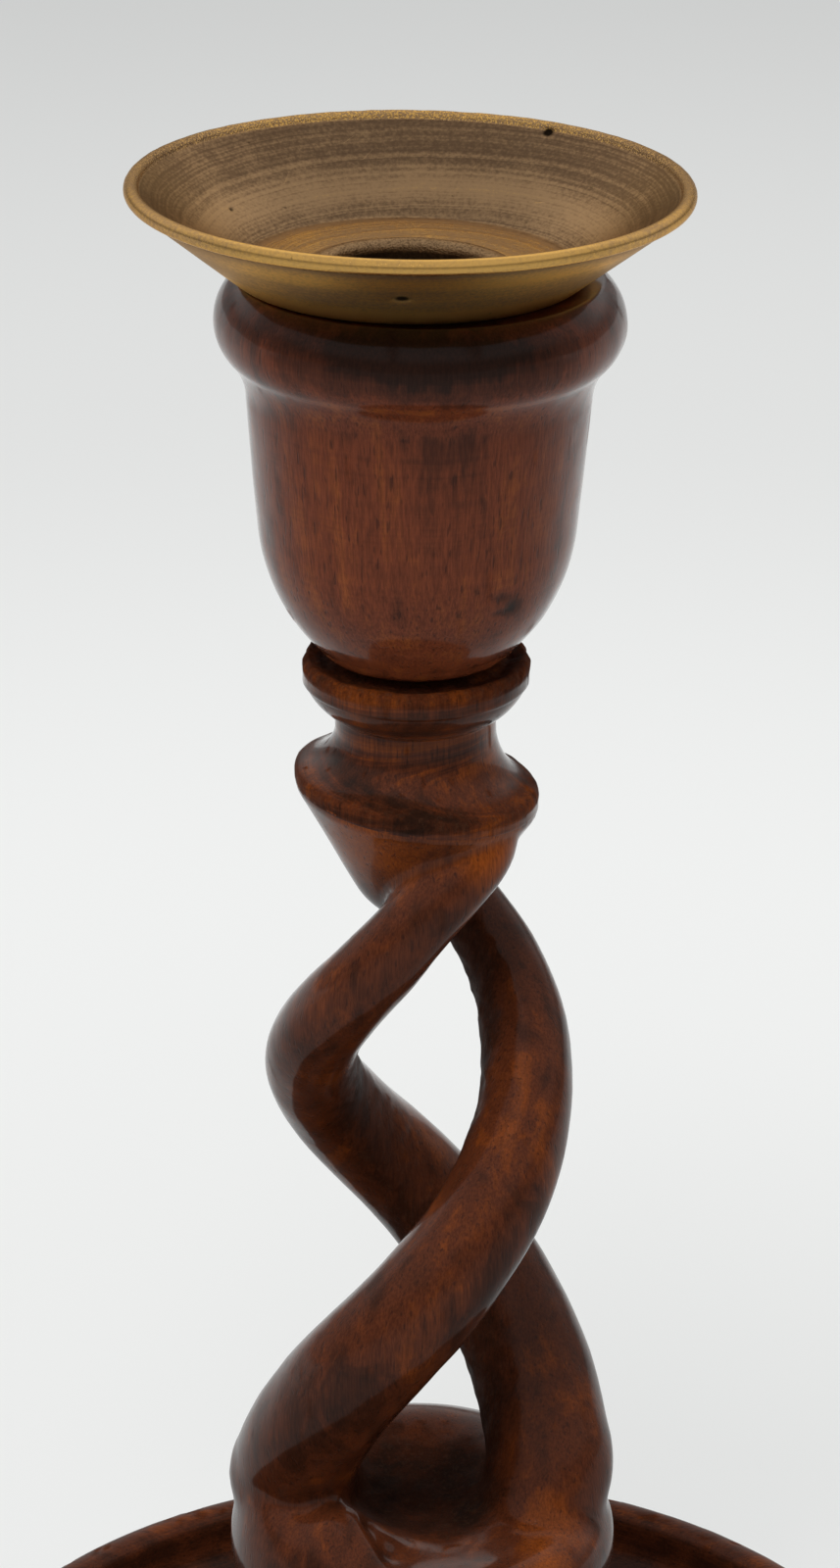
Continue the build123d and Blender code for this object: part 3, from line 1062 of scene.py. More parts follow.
@dataclass(frozen=True)
class SteelFinish:
    """Plain screw steel, dulled."""

    name: str = "screw_steel_dull"  # Name of the finish.
    clean: Triple = (0.42, 0.41, 0.4)  # Colour of bare metal.
    dulled: Triple = (0.17, 0.14, 0.12)  # Colour of dulled metal.

    def material(self, effects: Effects) -> Material:
        """Builds the finish: turning lines and rubbing mix the two greys.

        Args:
            effects: The shared node groups.

        Returns:
            The material.
        """
        material, bench = new_material(self.name)
        place = bench.place()
        lines = bench.effect(effects.turning_lines, {"Vector": place, "Pitch": 0.3})
        scuffs = bench.effect(effects.scuffs, {"Vector": place, "Size": 400.0})
        share = bench.times(lines["Line"], bench.range(scuffs["Rub"], 0.0, 1.0, 0.4, 1.0))
        bench.principled(
            {
                "Base Color": bench.mix(share, (*self.dulled, 1.0), (*self.clean, 1.0)),
                "Metallic": 1.0,
                "Roughness": bench.range(share, 0.0, 1.0, 0.55, 0.3),
                "Normal": bench.bump(0.3, 0.0001, lines["Height"]),
            }
        )
        return material


@dataclass
class Sconce:
    """Brass drip pan with the candle socket swaged into its hole."""

    level: float = 197.3  # Underside of the pan.
    wall: float = 1.2  # Thickness of the pan.
    hole: float = 10.3  # Radius of the hole in the pan, which is the socket's outer radius.
    foot: float = 18.0  # Radius where the wall leaves the floor, at the middle of the metal.
    foot_round: float = 1.6  # Bend radius there.
    rim: float = 29.1  # Radius to the middle of the bead.
    rim_height: float = 9.4  # Height of the bead's middle over the underside.
    bead: float = 0.82  # Radius of the bead.
    bore: float = 9.6  # Radius of the candle's bore.
    bore_floor: float = 178.1  # Level of the bore's floor.
    lip: float = 11.8  # Radius of the swaged lip.
    lip_thickness: float = 0.6  # Height of the lip over the pan's floor.
    mouth_round: float = 1.0  # Rounding of the mouth.
    dip: float = 0.8  # How far the pan's floor falls towards its hole.
    drift: float = -1.3  # Sideways place of the pan, which sits a little off the middle.
    pits: tuple[Blotch, ...] = (  # Casting pits in the pan.
        Blotch((-0.7, -23.9, 201.8), (0.95, 0.9, 0.7), -0.9, 0.2),
        Blotch((15.0, 23.8, 206.6), (0.6, 0.6, 0.5), -1.1, 0.2),
        Blotch((-19.0, 10.0, 201.4), (0.35, 0.35, 0.35), -0.7, 0.1),
        Blotch((8.6, 15.4, 199.0), (0.35, 0.3, 0.3), -0.7, 0.1),
        Blotch((21.4, -15.4, 205.3), (0.4, 0.35, 0.35), -0.8, 0.12),
    )
    # Painted light bands round the pan's outside: a painted reflection near the foot, a paler painted
    # reflection higher up and a painted shadow just under the bead; each with its height over the underside,
    # its reach and how much more or less it is rubbed.
    painted_light_bands: tuple[Triple, ...] = ((1.4, 1.5, 0.5), (6.6, 1.1, 0.25), (8.6, 0.5, -0.4))
    inner_highlight_band: Triple = (3.8, 1.8, 0.3)  # A paler band round the inside, given the same way: a painted highlight.
    # Places along y between which the bead becomes rough, as it is at the back.
    rough_bead: Pair = (-8.0, 12.0)
    shaded_sides: Pair = (12.0, 28.0)  # Distances to the side between which the rubbing fades: painted shade, bead and outside duller towards the left and right.
    columns: int = 420  # Points round the pan.
    socket_columns: int = 240  # Points round the socket.

    def settled(self, points: Array) -> Array:
        """Points of the sconce, tilted with the cup's top and shifted to where the pan sits.

        Args:
            points: The points.

        Returns:
            The moved points.
        """
        hand = HandTurning()
        moved = points.copy()
        moved[:, 2] += hand.lift(points)
        moved[:, 0] += self.drift + hand.top_slopes[0] * (points[:, 2] - self.level)
        return moved

    def pan_profile(self) -> tuple[Array, int, int]:
        """Outline of the pan, from its hole out under the wall, round the bead and back inside.

        Returns:
            The points, and the numbers of the first and last point of the bead.
        """
        half = self.wall / 2.0
        middle = self.level + half
        along = np.array([self.rim - self.foot, self.level + self.rim_height - middle])
        along /= np.linalg.norm(along)
        under = np.array([along[1], -along[0]])
        bend = self.foot_round * math.tan(math.atan2(along[1], along[0]) / 2.0)
        bend_end = np.array([self.foot, middle]) + bend * along
        rim = np.array([self.rim, self.level + self.rim_height])
        joint = math.sqrt(self.bead**2 - half**2)
        outline = TurnedProfile(self.hole, self.level - self.dip, step=0.24)
        outline.line(self.foot - bend, self.level).arc(*(bend_end + half * under), leaving=OUTWARD)
        outline.line(*(rim - joint * along + half * under))
        first = outline.count
        outline.through(tuple(rim + self.bead * along), tuple(rim - joint * along - half * under))
        last = outline.count
        outline.line(*(bend_end - half * under))
        outline.arc(self.foot - bend, self.level + self.wall, leaving=tuple(-along))
        outline.line(self.hole, self.level + self.wall - self.dip).line(self.hole, self.level - self.dip)
        return outline.points[:-1], first, last

    def build_pan(self) -> Piece:
        """Builds the pan: its turned skin, lightly uneven, with casting pits sunk along the normal.

        Returns:
            The piece.
        """
        profile, first, last = self.pan_profile()
        surface = turned_surface(profile, self.columns)
        mesh = mesh_of("drip_pan_brass", surface)
        points = surface.points
        number = np.arange(len(profile))
        bead = over_rows((number >= first) & (number < last), self.columns, False).astype(float)
        inside = over_rows(number >= last, self.columns, False).astype(float)
        under = (1.0 - inside) * (1.0 - bead)
        wave = LatticeNoise(11)
        far_bead = bead * eased(points[:, 1], *self.rough_bead)
        tone, depth = blotched(points, self.pits)
        sink = 0.05 * wave.at(points, (14.0, 14.0, 6.0)) + 0.04 * wave.at(points, 1.1) * far_bead - depth
        place_corners(mesh, self.settled(points + sink[:, None] * corner_normals(mesh)))
        height = points[:, 2] - self.level
        floor = 1.0 - eased(from_axis(points), self.foot - 2.0, self.foot)
        aside = eased(np.abs(points[:, 0]), *self.shaded_sides)
        # The outside's rubbing also carries painted light: reflections near the foot and higher up, and a
        # shadow just under the bead.
        wall_wear_and_light = 0.56 + 0.15 * wave.at(points, (12.0, 12.0, 1.6))
        for middle, reach, band_change in self.painted_light_bands:
            wall_wear_and_light += band_change * bell(height, middle, reach)
        # Painted highlight: the inside's band and floor are drawn as paler rubbed metal.
        middle, reach, band_change = self.inner_highlight_band
        wear_and_painted_light = inside * (band_change * bell(height, middle, reach) + 0.48 * floor)
        # Painted shade: bead and outside rubbed less towards the left and right sides.
        wear_and_painted_light += bead * (0.88 - 0.3 * aside) + under * wall_wear_and_light * (1.0 - 0.5 * aside)
        masks = {
            "tone": tone,
            "turned": 0.4 + 0.6 * inside,
            "under": under,
            "wear_and_painted_light": held(wear_and_painted_light),
            "torn": far_bead,
        }
        return set_piece("drip_pan_brass", mesh, Standing(Body.SCONCE, Slot.PAN, "drip_pan"), masks)

    def build_socket(self) -> Piece:
        """Builds the socket: a turned tube with a closed floor and a rounded lip.

        Returns:
            The piece.
        """
        floor = self.level + self.wall - self.dip
        top = floor + self.lip_thickness
        foot = self.bore_floor - (self.hole - self.bore)
        outline = TurnedProfile(0.0, foot, step=0.3)
        outline.line(self.hole, foot).line(self.hole, floor).line(self.lip, floor)
        first = outline.count
        outline.arc(self.bore + self.mouth_round, top, arriving=INWARD)
        outline.arc(self.bore, top - self.mouth_round, leaving=INWARD)
        last = outline.count
        outline.line(self.bore, self.bore_floor).line(0.0, self.bore_floor)
        surface = turned_surface(outline.points, self.socket_columns)
        number = np.arange(outline.count)
        lip = over_rows((number >= first) & (number < last), self.socket_columns, True).astype(float)
        inner = over_rows(number >= last, self.socket_columns, True).astype(float)
        mesh = mesh_of("candle_socket_brass", surface)
        points = surface.points
        wave = LatticeNoise(12)
        sink = 0.05 * wave.at(points, 3.0) * lip
        soot = inner * eased(points[:, 2], top - 1.0, self.bore_floor) * (0.75 + 0.25 * wave.at(points, 4.0))
        place_corners(mesh, self.settled(points + sink[:, None] * corner_normals(mesh)))
        masks = {
            "tone": -0.65 * soot,
            "turned": np.full(len(points), 0.7),
            "wear_and_painted_light": 0.32 * lip,
            "torn": 0.4 * lip,
        }
        standing = Standing(Body.SCONCE, Slot.SOCKET, "candle_socket")
        return set_piece("candle_socket_brass", mesh, standing, masks)

    def build(self) -> list[Piece]:
        """Builds the pan and the socket."""
        return [self.build_pan(), self.build_socket()]

    def dress(self, pieces: list[Piece], effects: Effects) -> None:
        """Gives the pan and the socket their brass.

        Args:
            pieces: The pieces, as built.
            effects: The shared node groups.
        """
        finishes = (
            BrassFinish("pan_brass_aged"),
            BrassFinish("socket_brass_aged", aged=(0.14, 0.084, 0.042), line_pitch=0.6),
        )
        for piece, finish in zip(pieces, finishes):
            piece.data.materials.append(finish.material(effects))


@dataclass
class CandleCup:
    """Turned wooden cup with a rounded lip."""

    level: float = 155.2  # Foot of the cup.
    mortise: float = 6.05  # Radius of the mortise for the stem.
    mortise_top: float = 167.25  # Level of its end.
    foot: float = 8.2  # Foot radius.
    foot_edge: float = 11.2  # Radius where the rounding of the foot ends.
    foot_round: float = 1.8  # Its height.
    shoulder: float = 17.1  # Radius where the foot's curve ends.
    shoulder_height: float = 14.5  # Its height over the foot.
    body: float = 18.4  # Radius just under the lip.
    body_height: float = 29.1  # Height of the body.
    lip: float = 21.9  # Largest radius of the lip.
    lip_widest: float = 8.2  # Its height over the body.
    lip_under: float = 20.4  # Radius between cove and bead.
    lip_under_rise: float = 4.6  # Height of the cove.
    lip_top: float = 19.4  # Radius of the flat top.
    lip_height: float = 13.0  # Height of the lip.
    seat: float = 17.2  # Radius of the dished seat for the pan.
    seat_dip: float = 0.9  # Depth of the seat at the bore.
    bore: float = 10.45  # Radius of the bore for the socket.
    bore_floor: float = 175.9  # Level of its floor.
    columns: int = 280  # Points round the axis.
    stains_and_shade: tuple[Blotch, ...] = (  # Stains, the knot near the foot, and a painted shadow of the pan on the front of the lip.
        Blotch((0.6, -18.0, 180.0), (3.0, 9.0, 13.0), -0.12),
        # Painted shadow: the pan's shadow on the front of the lip.
        Blotch((0.0, -21.5, 194.2), (14.0, 9.0, 3.4), -1.3),
        Blotch((8.7, -13.8, 166.8), (1.0, 4.0, 0.7), -0.9, 0.06),
        Blotch((10.1, -13.4, 165.4), (0.7, 4.0, 1.0), -0.9, 0.06),
        Blotch((8.9, -13.8, 164.9), (1.3, 4.0, 0.5), -0.7, 0.05),
        Blotch((-4.0, -20.0, 188.0), (7.0, 8.0, 1.8), 0.3),
        Blotch((11.0, -14.0, 176.0), (3.5, 8.0, 8.0), 0.2),
        Blotch((-11.0, -12.0, 172.0), (4.0, 8.0, 12.0), 0.15),
        Blotch((-13.0, 11.0, 170.0), (3.0, 6.0, 4.0), -0.6),
    )

    def profile(self) -> Array:
        """Outline of the cup, from the mortise out over the foot and lip and down into the bore.

        Returns:
            The points (radius, height).
        """
        lip_level = self.level + self.body_height
        top = lip_level + self.lip_height
        under = np.array([self.lip_under, lip_level + self.lip_under_rise])
        widest = np.array([self.lip, lip_level + self.lip_widest])
        chord = (widest - under) / np.linalg.norm(widest - under)
        belly = 2.0 * chord[1] * chord - np.array(UP)
        outline = TurnedProfile(0.0, self.mortise_top, step=0.3)
        outline.line(self.mortise, self.mortise_top).line(self.mortise, self.level)
        outline.line(self.foot, self.level).arc(self.foot_edge, self.level + self.foot_round, leaving=OUTWARD)
        side = (self.body - self.shoulder, self.body_height - self.shoulder_height)
        outline.arc(self.shoulder, self.level + self.shoulder_height, arriving=side)
        outline.line(self.body, lip_level).arc(*under, arriving=tuple(belly))
        outline.arc(*widest, arriving=UP).arc(self.lip_top, top, leaving=UP)
        outline.line(self.seat, top).line(self.bore, top - self.seat_dip)
        outline.line(self.bore, self.bore_floor).line(0.0, self.bore_floor)
        return outline.points

    def build(self) -> Piece:
        """Builds the cup: a turned skin with low lumps, stains, a knot and a painted shadow of the pan on the
        lip.

        Returns:
            The piece.
        """
        surface = turned_surface(self.profile(), self.columns)
        mesh = mesh_of("candle_cup_wood", surface)
        points, normals = surface.points, corner_normals(mesh)
        height = points[:, 2] - self.level
        wave = LatticeNoise(21)
        outer = (from_axis(points) > self.foot) & (normals[:, 2] < 0.9)
        tone, depth = blotched(points, self.stains_and_shade)
        lump = (0.1 * wave.at(points, (12.0, 12.0, 16.0)) + 0.03 * wave.at(points, 2.4)) * outer - depth
        place_corners(mesh, HandTurning().settled(points + lump[:, None] * normals))
        widest = self.body_height + self.lip_widest
        cove = bell(height, self.body_height + self.lip_under_rise, 0.5)
        flecks = eased(wave.at(points, (1.5, 1.5, 7.0)), 0.55, 0.85)
        masks = {
            # Painted shade: the lip darkens from its widest up to its top, under the pan.
            "tone": tone - 0.3 * eased(height, widest - 0.5, widest + 3.6),
            "torn": held(0.35 * bell(height, 0.0, 0.8) + 0.2 * flecks) * outer,
            "turned": held(0.25 + 0.75 * cove),
            "wear_and_painted_light": held(0.2 + 0.6 * cove),
        }
        return set_piece("candle_cup_wood", mesh, Standing(Body.STAND, Slot.CUP, "candle_cup"), masks)

    def dress(self, piece: Piece, effects: Effects) -> None:
        """Gives the cup its wood, the pith behind and to one side.

        Args:
            piece: The piece, as built.
            effects: The shared node groups.
        """
        finish = WoodFinish(
            "cup_wood_waxed",
            Grain.UPRIGHT,
            (0.011, -0.027, 0.004),
            dark=(0.02, 0.0066, 0.0032),
            middle=(0.125, 0.0295, 0.0105),
            warm=(0.24, 0.064, 0.012),
            streaks=0.6,
            clouds=0.5,
            dust=0.1,
        )
        piece.data.materials.append(finish.material(effects))


@dataclass
class StemFoot:
    """Turned lower end of the stem: tenon, plinth, bead, neck and the bulb with its hollow top."""

    tenon: float = 8.0  # Tenon radius.
    tenon_level: float = 4.0  # Lower end of the tenon.
    floor: float = 7.5  # Level of the base's floor, under the plinth.
    plinth: float = 20.0  # Plinth radius.
    plinth_level: float = 10.0  # Top of the plinth.
    bead: float = 16.0  # Radius to the bead's centre.
    bead_level: float = 16.0  # Top of the bead.
    fillet: float = 14.6  # Fillet radius.
    fillet_level: float = 17.0  # Top of the fillet.
    neck: float = 12.3  # Smallest radius of the neck.
    neck_level: float = 22.0  # Its level.
    bulb_foot: float = 13.5  # Radius where the bulb starts.
    bulb_foot_level: float = 27.0  # Its level.
    bulb: float = 22.5  # Largest radius.
    bulb_level: float = 45.0  # Its level.
    shoulder: float = 20.4  # Radius of the rounded shoulder.
    shoulder_level: float = 49.0  # Its level.
    hollow: float = 12.5  # Radius of the hollow's ridge.
    rim_level: float = 52.0  # Its level.
    hollow_level: float = 49.6  # Deepest level of the hollow.
    # Mounds on the bulb's top, each with its rise, and its middle and reach along x and along y.
    mounds: tuple[tuple[float, Pair, Pair], ...] = (
        (6.0, (-9.0, 5.0), (-13.0, 4.5)),
        (6.8, (-18.5, 4.2), (-6.5, 7.5)),
    )
    ridge_reach: float = 4.0  # How far the hollow's ridge spreads to both sides.
    columns: int = 220  # Points round the axis.

    def profile(self) -> Array:
        """Outline from the tenon's end up to the middle of the hollow.

        Returns:
            The points (radius, height).
        """
        outline = TurnedProfile(0.0, self.tenon_level, step=0.4)
        outline.line(self.tenon, self.tenon_level).line(self.tenon, self.floor).line(self.plinth, self.floor)
        outline.line(self.plinth, self.plinth_level).line(self.bead, self.plinth_level)
        outline.arc(self.bead, self.bead_level, leaving=OUTWARD).line(self.fillet, self.bead_level)
        outline.line(self.fillet, self.fillet_level)
        outline.through((self.neck, self.neck_level), (self.bulb_foot, self.bulb_foot_level))
        outline.arc(self.bulb, self.bulb_level, arriving=UP)
        chord = np.array([self.shoulder - self.bulb, self.shoulder_level - self.bulb_level])
        chord /= np.linalg.norm(chord)
        over = 2.0 * chord[1] * chord - np.array(UP)
        outline.arc(self.shoulder, self.shoulder_level, leaving=UP)
        outline.arc(self.hollow, self.rim_level, leaving=tuple(over))
        outline.arc(0.0, self.hollow_level, arriving=INWARD)
        return outline.points

    def surface(self) -> Surface:
        """Turned skin, its top raised by hand: two mounds under the first strand, and a hollow that slopes.

        A mound is exp(-d^2) with d the distance from its middle in its two reaches.

        Returns:
            The closed skin.
        """
        skin = turned_surface(self.profile(), self.columns)
        x, y, z = skin.points.T
        top = eased(z, self.bulb_level, self.shoulder_level)
        mound = sum(rise * bell(x, *across) * bell(y, *along) for rise, across, along in self.mounds)
        reach = np.hypot(x, y)
        ridge = bell(reach, self.hollow, self.ridge_reach)
        slope = (0.17 * y - 0.07 * np.abs(y)) * (1.0 - eased(reach, self.hollow, self.shoulder))
        skin.points[:, 2] += top * (mound - 0.06 * x * ridge + slope)
        return skin


@dataclass
class StemHead:
    """Turned upper end of the stem: cone, ring, cove neck, collar and the tenon for the cup."""

    cone_tip_level: float = 123.6  # Lowest level of the cone.
    cone_end: float = 7.0  # Radius where the cone's side ends.
    cone_end_level: float = 127.9  # Its level.
    cone_shoulder: float = 12.9  # Radius where the cone's side starts, under the ring.
    cone_shoulder_level: float = 137.8  # Its level.
    ring: float = 13.4  # Ring radius.
    ring_low: float = 139.3  # Lower level of the ring.
    ring_level: float = 140.0  # Upper level of the ring.
    ring_shoulder: float = 12.7  # Radius of the ledge over the ring.
    ring_shoulder_level: float = 141.0  # Its level.
    neck: float = 8.8  # Neck radius.
    neck_low: float = 146.2  # Lower level of the neck.
    neck_high: float = 148.3  # Upper level of the neck.
    collar: float = 12.35  # Collar radius.
    collar_low: float = 152.0  # Lower level of its band.
    collar_high: float = 153.9  # Upper level of its band.
    rim: float = 11.7  # Radius of the collar's upper edge.
    rim_level: float = 154.9  # Its level.
    trough: float = 10.0  # Radius of the trough between the edge and the cup.
    trough_level: float = 154.4  # Its level.
    seat: float = 7.8  # Radius of the seat for the cup.
    seat_level: float = 155.2  # Its level.
    tenon: float = 6.0  # Tenon radius.
    tenon_level: float = 167.2  # End of the tenon.
    cone_close: Pair = (0.2, 0.3)  # How far inside and over the ring's lower edge the cone is closed.
    head_tuck: float = 0.5  # How far inside the cone the head starts.
    ring_start: Pair = (0.03, 0.4)  # How far inside and under the ring's lower edge its side starts.
    neck_heading: Pair = (-0.1, 0.995)  # Heading of the cove where it reaches the neck.
    collar_heading: Pair = (0.37, 0.93)  # Heading of the cove where it reaches the collar.
    collar_edge: Pair = (0.2, 0.15)  # Width and height of the collar's lower edge.
    lean: float = 0.04  # How much the ring falls along x, where it is carved lower.
    # Levels between which that comes in and fades.
    lean_levels: tuple[float, ...] = (125.0, 134.0, 142.0, 147.0)
    cone_columns: int = 200  # Points round the cone.

    def cone_profile(self) -> Array:
        """Outline of the cone under the ring, closed just under the ring's edge.

        Returns:
            The points (radius, height).
        """
        side = (self.cone_shoulder - self.cone_end, self.cone_shoulder_level - self.cone_end_level)
        outline = TurnedProfile(0.0, self.cone_tip_level, step=0.4)
        outline.arc(self.cone_end, self.cone_end_level, arriving=side)
        outline.line(self.cone_shoulder, self.cone_shoulder_level).arc(self.ring, self.ring_low, arriving=UP)
        inside, over = self.cone_close
        outline.line(self.ring - inside, self.ring_low + over).line(0.0, self.ring_low + over)
        return outline.points

    def head_profile(self) -> Array:
        """Outline from inside the cone up over ring, neck and collar to the end of the tenon.

        Returns:
            The points (radius, height).
        """
        outline = TurnedProfile(0.0, self.cone_shoulder_level, step=0.26)
        outline.line(self.cone_shoulder - self.head_tuck, self.cone_shoulder_level)
        inside, under = self.ring_start
        outline.line(self.ring - inside, self.ring_low - under).line(self.ring, self.ring_level)
        outline.arc(self.ring_shoulder, self.ring_shoulder_level, leaving=UP)
        outline.arc(self.neck, self.neck_low, arriving=self.neck_heading).line(self.neck, self.neck_high)
        wide, high = self.collar_edge
        outline.arc(self.collar - wide, self.collar_low, arriving=self.collar_heading)
        outline.line(self.collar, self.collar_low + high).line(self.collar, self.collar_high)
        outline.arc(self.rim, self.rim_level, leaving=UP)
        outline.line(self.trough, self.trough_level).line(self.seat, self.seat_level)
        outline.line(self.tenon, self.seat_level).line(self.tenon, self.tenon_level)
        outline.line(0.0, self.tenon_level)
        return outline.points

    def leaned(self, skin: Surface) -> Surface:
        """The skin with its ring carved lower along x: z falls by lean x, fading over neck and cone.

        Args:
            skin: The skin, which is changed.

        Returns:
            The same skin.
        """
        x, z = skin.points[:, 0], skin.points[:, 2]
        skin.points[:, 2] -= self.lean * x * plateau(z, self.lean_levels)
        return skin


@dataclass(frozen=True)
class Strand:
    """One strand of the twist, with the place where it differs from its even curve."""

    offset_deg: float  # Turn of the strand about the axis.
    seed: int  # Start of its unevenness.
    share: float  # The place of the difference, as a share of the way down.
    reach: float  # How far it spreads, as a share.
    swelling: float  # What it adds to the section radius.
    lag_deg: float  # How far the strand lags behind its helix there.


@dataclass
class TwistStem:
    """Stem with its open double twist, carved from the turned foot and head."""

    twist: float = 87.3  # Height of the open twist.
    start_deg: float = 147.5  # Angle of the first strand at the ring.
    turn_deg: float = 325.0  # Turn of a strand over the twist.
    quickening: float = 0.34  # How much faster it turns at the top.
    orbits: Triple = (8.4, 12.95, 14.8)  # Distance of a strand from the axis at the top, middle and bottom.
    radii: Triple = (3.4, 5.7, 7.5)  # Section radius of a strand at the top, middle and bottom.
    toe_depths: Pair = (8.5, 15.0)  # Depths of the buried ends under the bulb's rim.
    toe_orbits: Pair = (12.2, 9.0)  # Their distances from the axis.
    toe_radii: Pair = (6.6, 4.6)  # Their section radii.
    toe_turns_deg: Pair = (20.0, 34.0)  # Their further turns.
    strands: tuple[Strand, ...] = (  # The two strands.
        Strand(0.0, 31, 0.24, 0.09, -0.4, 0.0),
        Strand(180.0, 32, 0.045, 0.05, 0.8, 7.0),
    )
    strand_knots: int = 23  # Points that lead a strand down the twist.
    strand_steps: int = 14  # Sections from one such point to the next.
    strand_columns: int = 64  # Points round a section.
    # Levels between which the joint of strands and bulb comes in and fades.
    bulb_joint: tuple[float, ...] = (42.0, 47.0, 57.0, 66.0)
    # The same for the joint of strands and cone.
    cone_joint: tuple[float, ...] = (119.0, 124.0, 134.5, 137.5)
    # Rounds of smoothing in all, and how many after the first reach past the bulb's ridge.
    smoothing: tuple[int, int] = (70, 24)
    carved_levels: Pair = (49.0, 56.0)  # Levels between which carved faces take over from the turned bulb.
    hollow_levels: Pair = (42.0, 46.5)  # Levels between which the bulb's hollow begins.
    hollow_reach: Pair = (6.5, 13.0)  # Distances from the axis between which it ends.
    turned_levels: Pair = (40.0, 48.0)  # Levels between which the turning marks of the foot fade.
    collar_levels: Pair = (153.0, 154.0)  # Levels between which the collar's torn top begins.
    voxel: float = 0.46  # Grain of the carved skin.
    columns: int = 260  # Points round the turned head.
    stains_and_shade: tuple[Blotch, ...] = (  # Stains and tool marks on the carving, with painted shade in the crease under the bulb's lobe and on the lower left strand.
        Blotch((13.9, -14.0, 47.5), (2.8, 9.0, 7.0), 1.3),
        Blotch((-13.0, -18.0, 47.0), (8.0, 8.0, 5.0), -0.55),
        # Painted shade along the crease under the bulb's lobe.
        Blotch((-14.0, -15.0, 56.0), (7.0, 5.0, 1.6), -0.6),
        Blotch((0.0, 6.0, 92.0), (6.0, 8.0, 7.0), 1.1),
        Blotch((14.0, -10.0, 59.0), (6.0, 9.0, 7.0), -0.25),
        Blotch((-12.0, -14.0, 63.0), (6.0, 9.0, 5.0), -0.35),
        # Painted shade on the lower left strand.
        Blotch((-10.0, -18.0, 74.0), (5.0, 8.0, 6.0), -0.6),
        Blotch((8.0, -14.0, 86.0), (3.0, 8.0, 4.0), -0.35),
        Blotch((0.0, -10.0, 127.0), (5.0, 8.0, 4.0), -0.45),
        Blotch((8.5, -9.0, 136.5), (4.0, 7.0, 3.5), 1.4),
        Blotch((-3.0, -16.0, 98.0), (3.0, 8.0, 3.5), -0.3),
        Blotch((-6.0, -9.5, 135.0), (5.0, 7.0, 5.0), 1.6),
        Blotch((4.0, -9.0, 129.0), (3.0, 6.0, 3.0), 0.25),
        Blotch((-5.0, -14.0, 115.0), (4.0, 8.0, 4.0), 0.1),
        Blotch((-5.4, -12.4, 53.2), (1.4, 2.2, 2.2), -0.2, 0.9),
        Blotch((-3.6, -14.8, 51.8), (1.4, 2.2, 2.2), -0.1, 0.8),
    )
    head_stains: tuple[Blotch, ...] = (  # Stains on the head.
        Blotch((-3.0, -12.0, 150.5), (4.0, 6.0, 1.4), -0.3),
        Blotch((-2.0, -12.0, 141.2), (7.0, 8.0, 1.8), -0.5),
        Blotch((7.5, -10.0, 139.3), (4.0, 7.0, 1.6), 0.6),
        Blotch((7.5, -9.0, 152.5), (2.5, 5.0, 1.2), 0.25),
    )

    @staticmethod
    def curve(values: Triple, share: Array) -> Array:
        """Even curve through its top, middle and bottom values.

        Args:
            values: The three values.
            share: Shares of the way down.

        Returns:
            One value for each share.
        """
        top, middle, bottom = values
        bend = 2.0 * (top + bottom - 2.0 * middle)
        return top + (bottom - top - bend) * share + bend * share * share

    def strand_surface(self, strand: Strand) -> Surface:
        """Skin of a strand: a round section carried along a tapering helix, its radius a little uneven.

        The centre is (q cos a, q sin a, z) with a = start - turn (s + k s (1 - s)), s the share of the
        way down, and q and the section radius even curves of s; two further points lead it into the bulb.
        The difference adds to the radius and to a as exp(-d^2), with d the distance from its share in
        reaches.

        Args:
            strand: The strand.

        Returns:
            The closed skin.
        """
        share = np.linspace(0.0, 1.0, self.strand_knots)
        near = bell(share, strand.share, strand.reach)
        thicker = strand.swelling * near
        angle = self.start_deg - self.turn_deg * (share + self.quickening * share * (1.0 - share))
        angle += strand.lag_deg * near
        orbit = np.append(self.curve(self.orbits, share) - np.minimum(thicker, 0.0), self.toe_orbits)
        radius = np.append(self.curve(self.radii, share) + thicker, self.toe_radii)
        angle = np.radians(np.append(angle, angle[-1] - np.array(self.toe_turns_deg)) + strand.offset_deg)
        rim = StemFoot().rim_level
        height = np.append(rim + self.twist * (1.0 - share), rim - np.array(self.toe_depths))
        knots = np.stack([orbit * np.cos(angle), orbit * np.sin(angle), height, radius], axis=-1)
        rows = self.smooth_line(knots, self.strand_steps)
        noise = LatticeNoise(strand.seed)
        turn = np.linspace(0.0, 2.0 * math.pi, self.strand_columns, endpoint=False)
        walk = np.arange(len(rows))[:, None] * 0.42
        round_place = np.broadcast_arrays(6.0 * np.cos(turn), 6.0 * np.sin(turn), walk)
        ring = np.stack(round_place, axis=-1)
        uneven = 1.0 + 0.03 * noise.at(ring, (5.0, 5.0, 14.0)) + 0.014 * noise.at(ring, (2.5, 2.5, 5.0))
        return swept_surface(rows[:, :3], rows[:, 3:] * uneven, self.strand_columns)

    @staticmethod
    def smooth_line(knots: Array, steps: int) -> Array:
        """Smooth line through knots: each run is the cubic that leaves along the line between its neighbours.

        Args:
            knots: Points to pass through.
            steps: Points made on each run.

        Returns:
            The points of the line.
        """
        slopes = np.gradient(knots, axis=0)
        t = np.linspace(0.0, 1.0, steps, endpoint=False)[None, :, None]
        start, end = knots[:-1, None], knots[1:, None]
        leave, arrive = slopes[:-1, None], slopes[1:, None]
        runs = (
            (2 * t**3 - 3 * t**2 + 1) * start
            + (t**3 - 2 * t**2 + t) * leave
            + (3 * t**2 - 2 * t**3) * end
            + (t**3 - t**2) * arrive
        )
        return np.concatenate([runs.reshape(-1, knots.shape[1]), knots[-1:]])

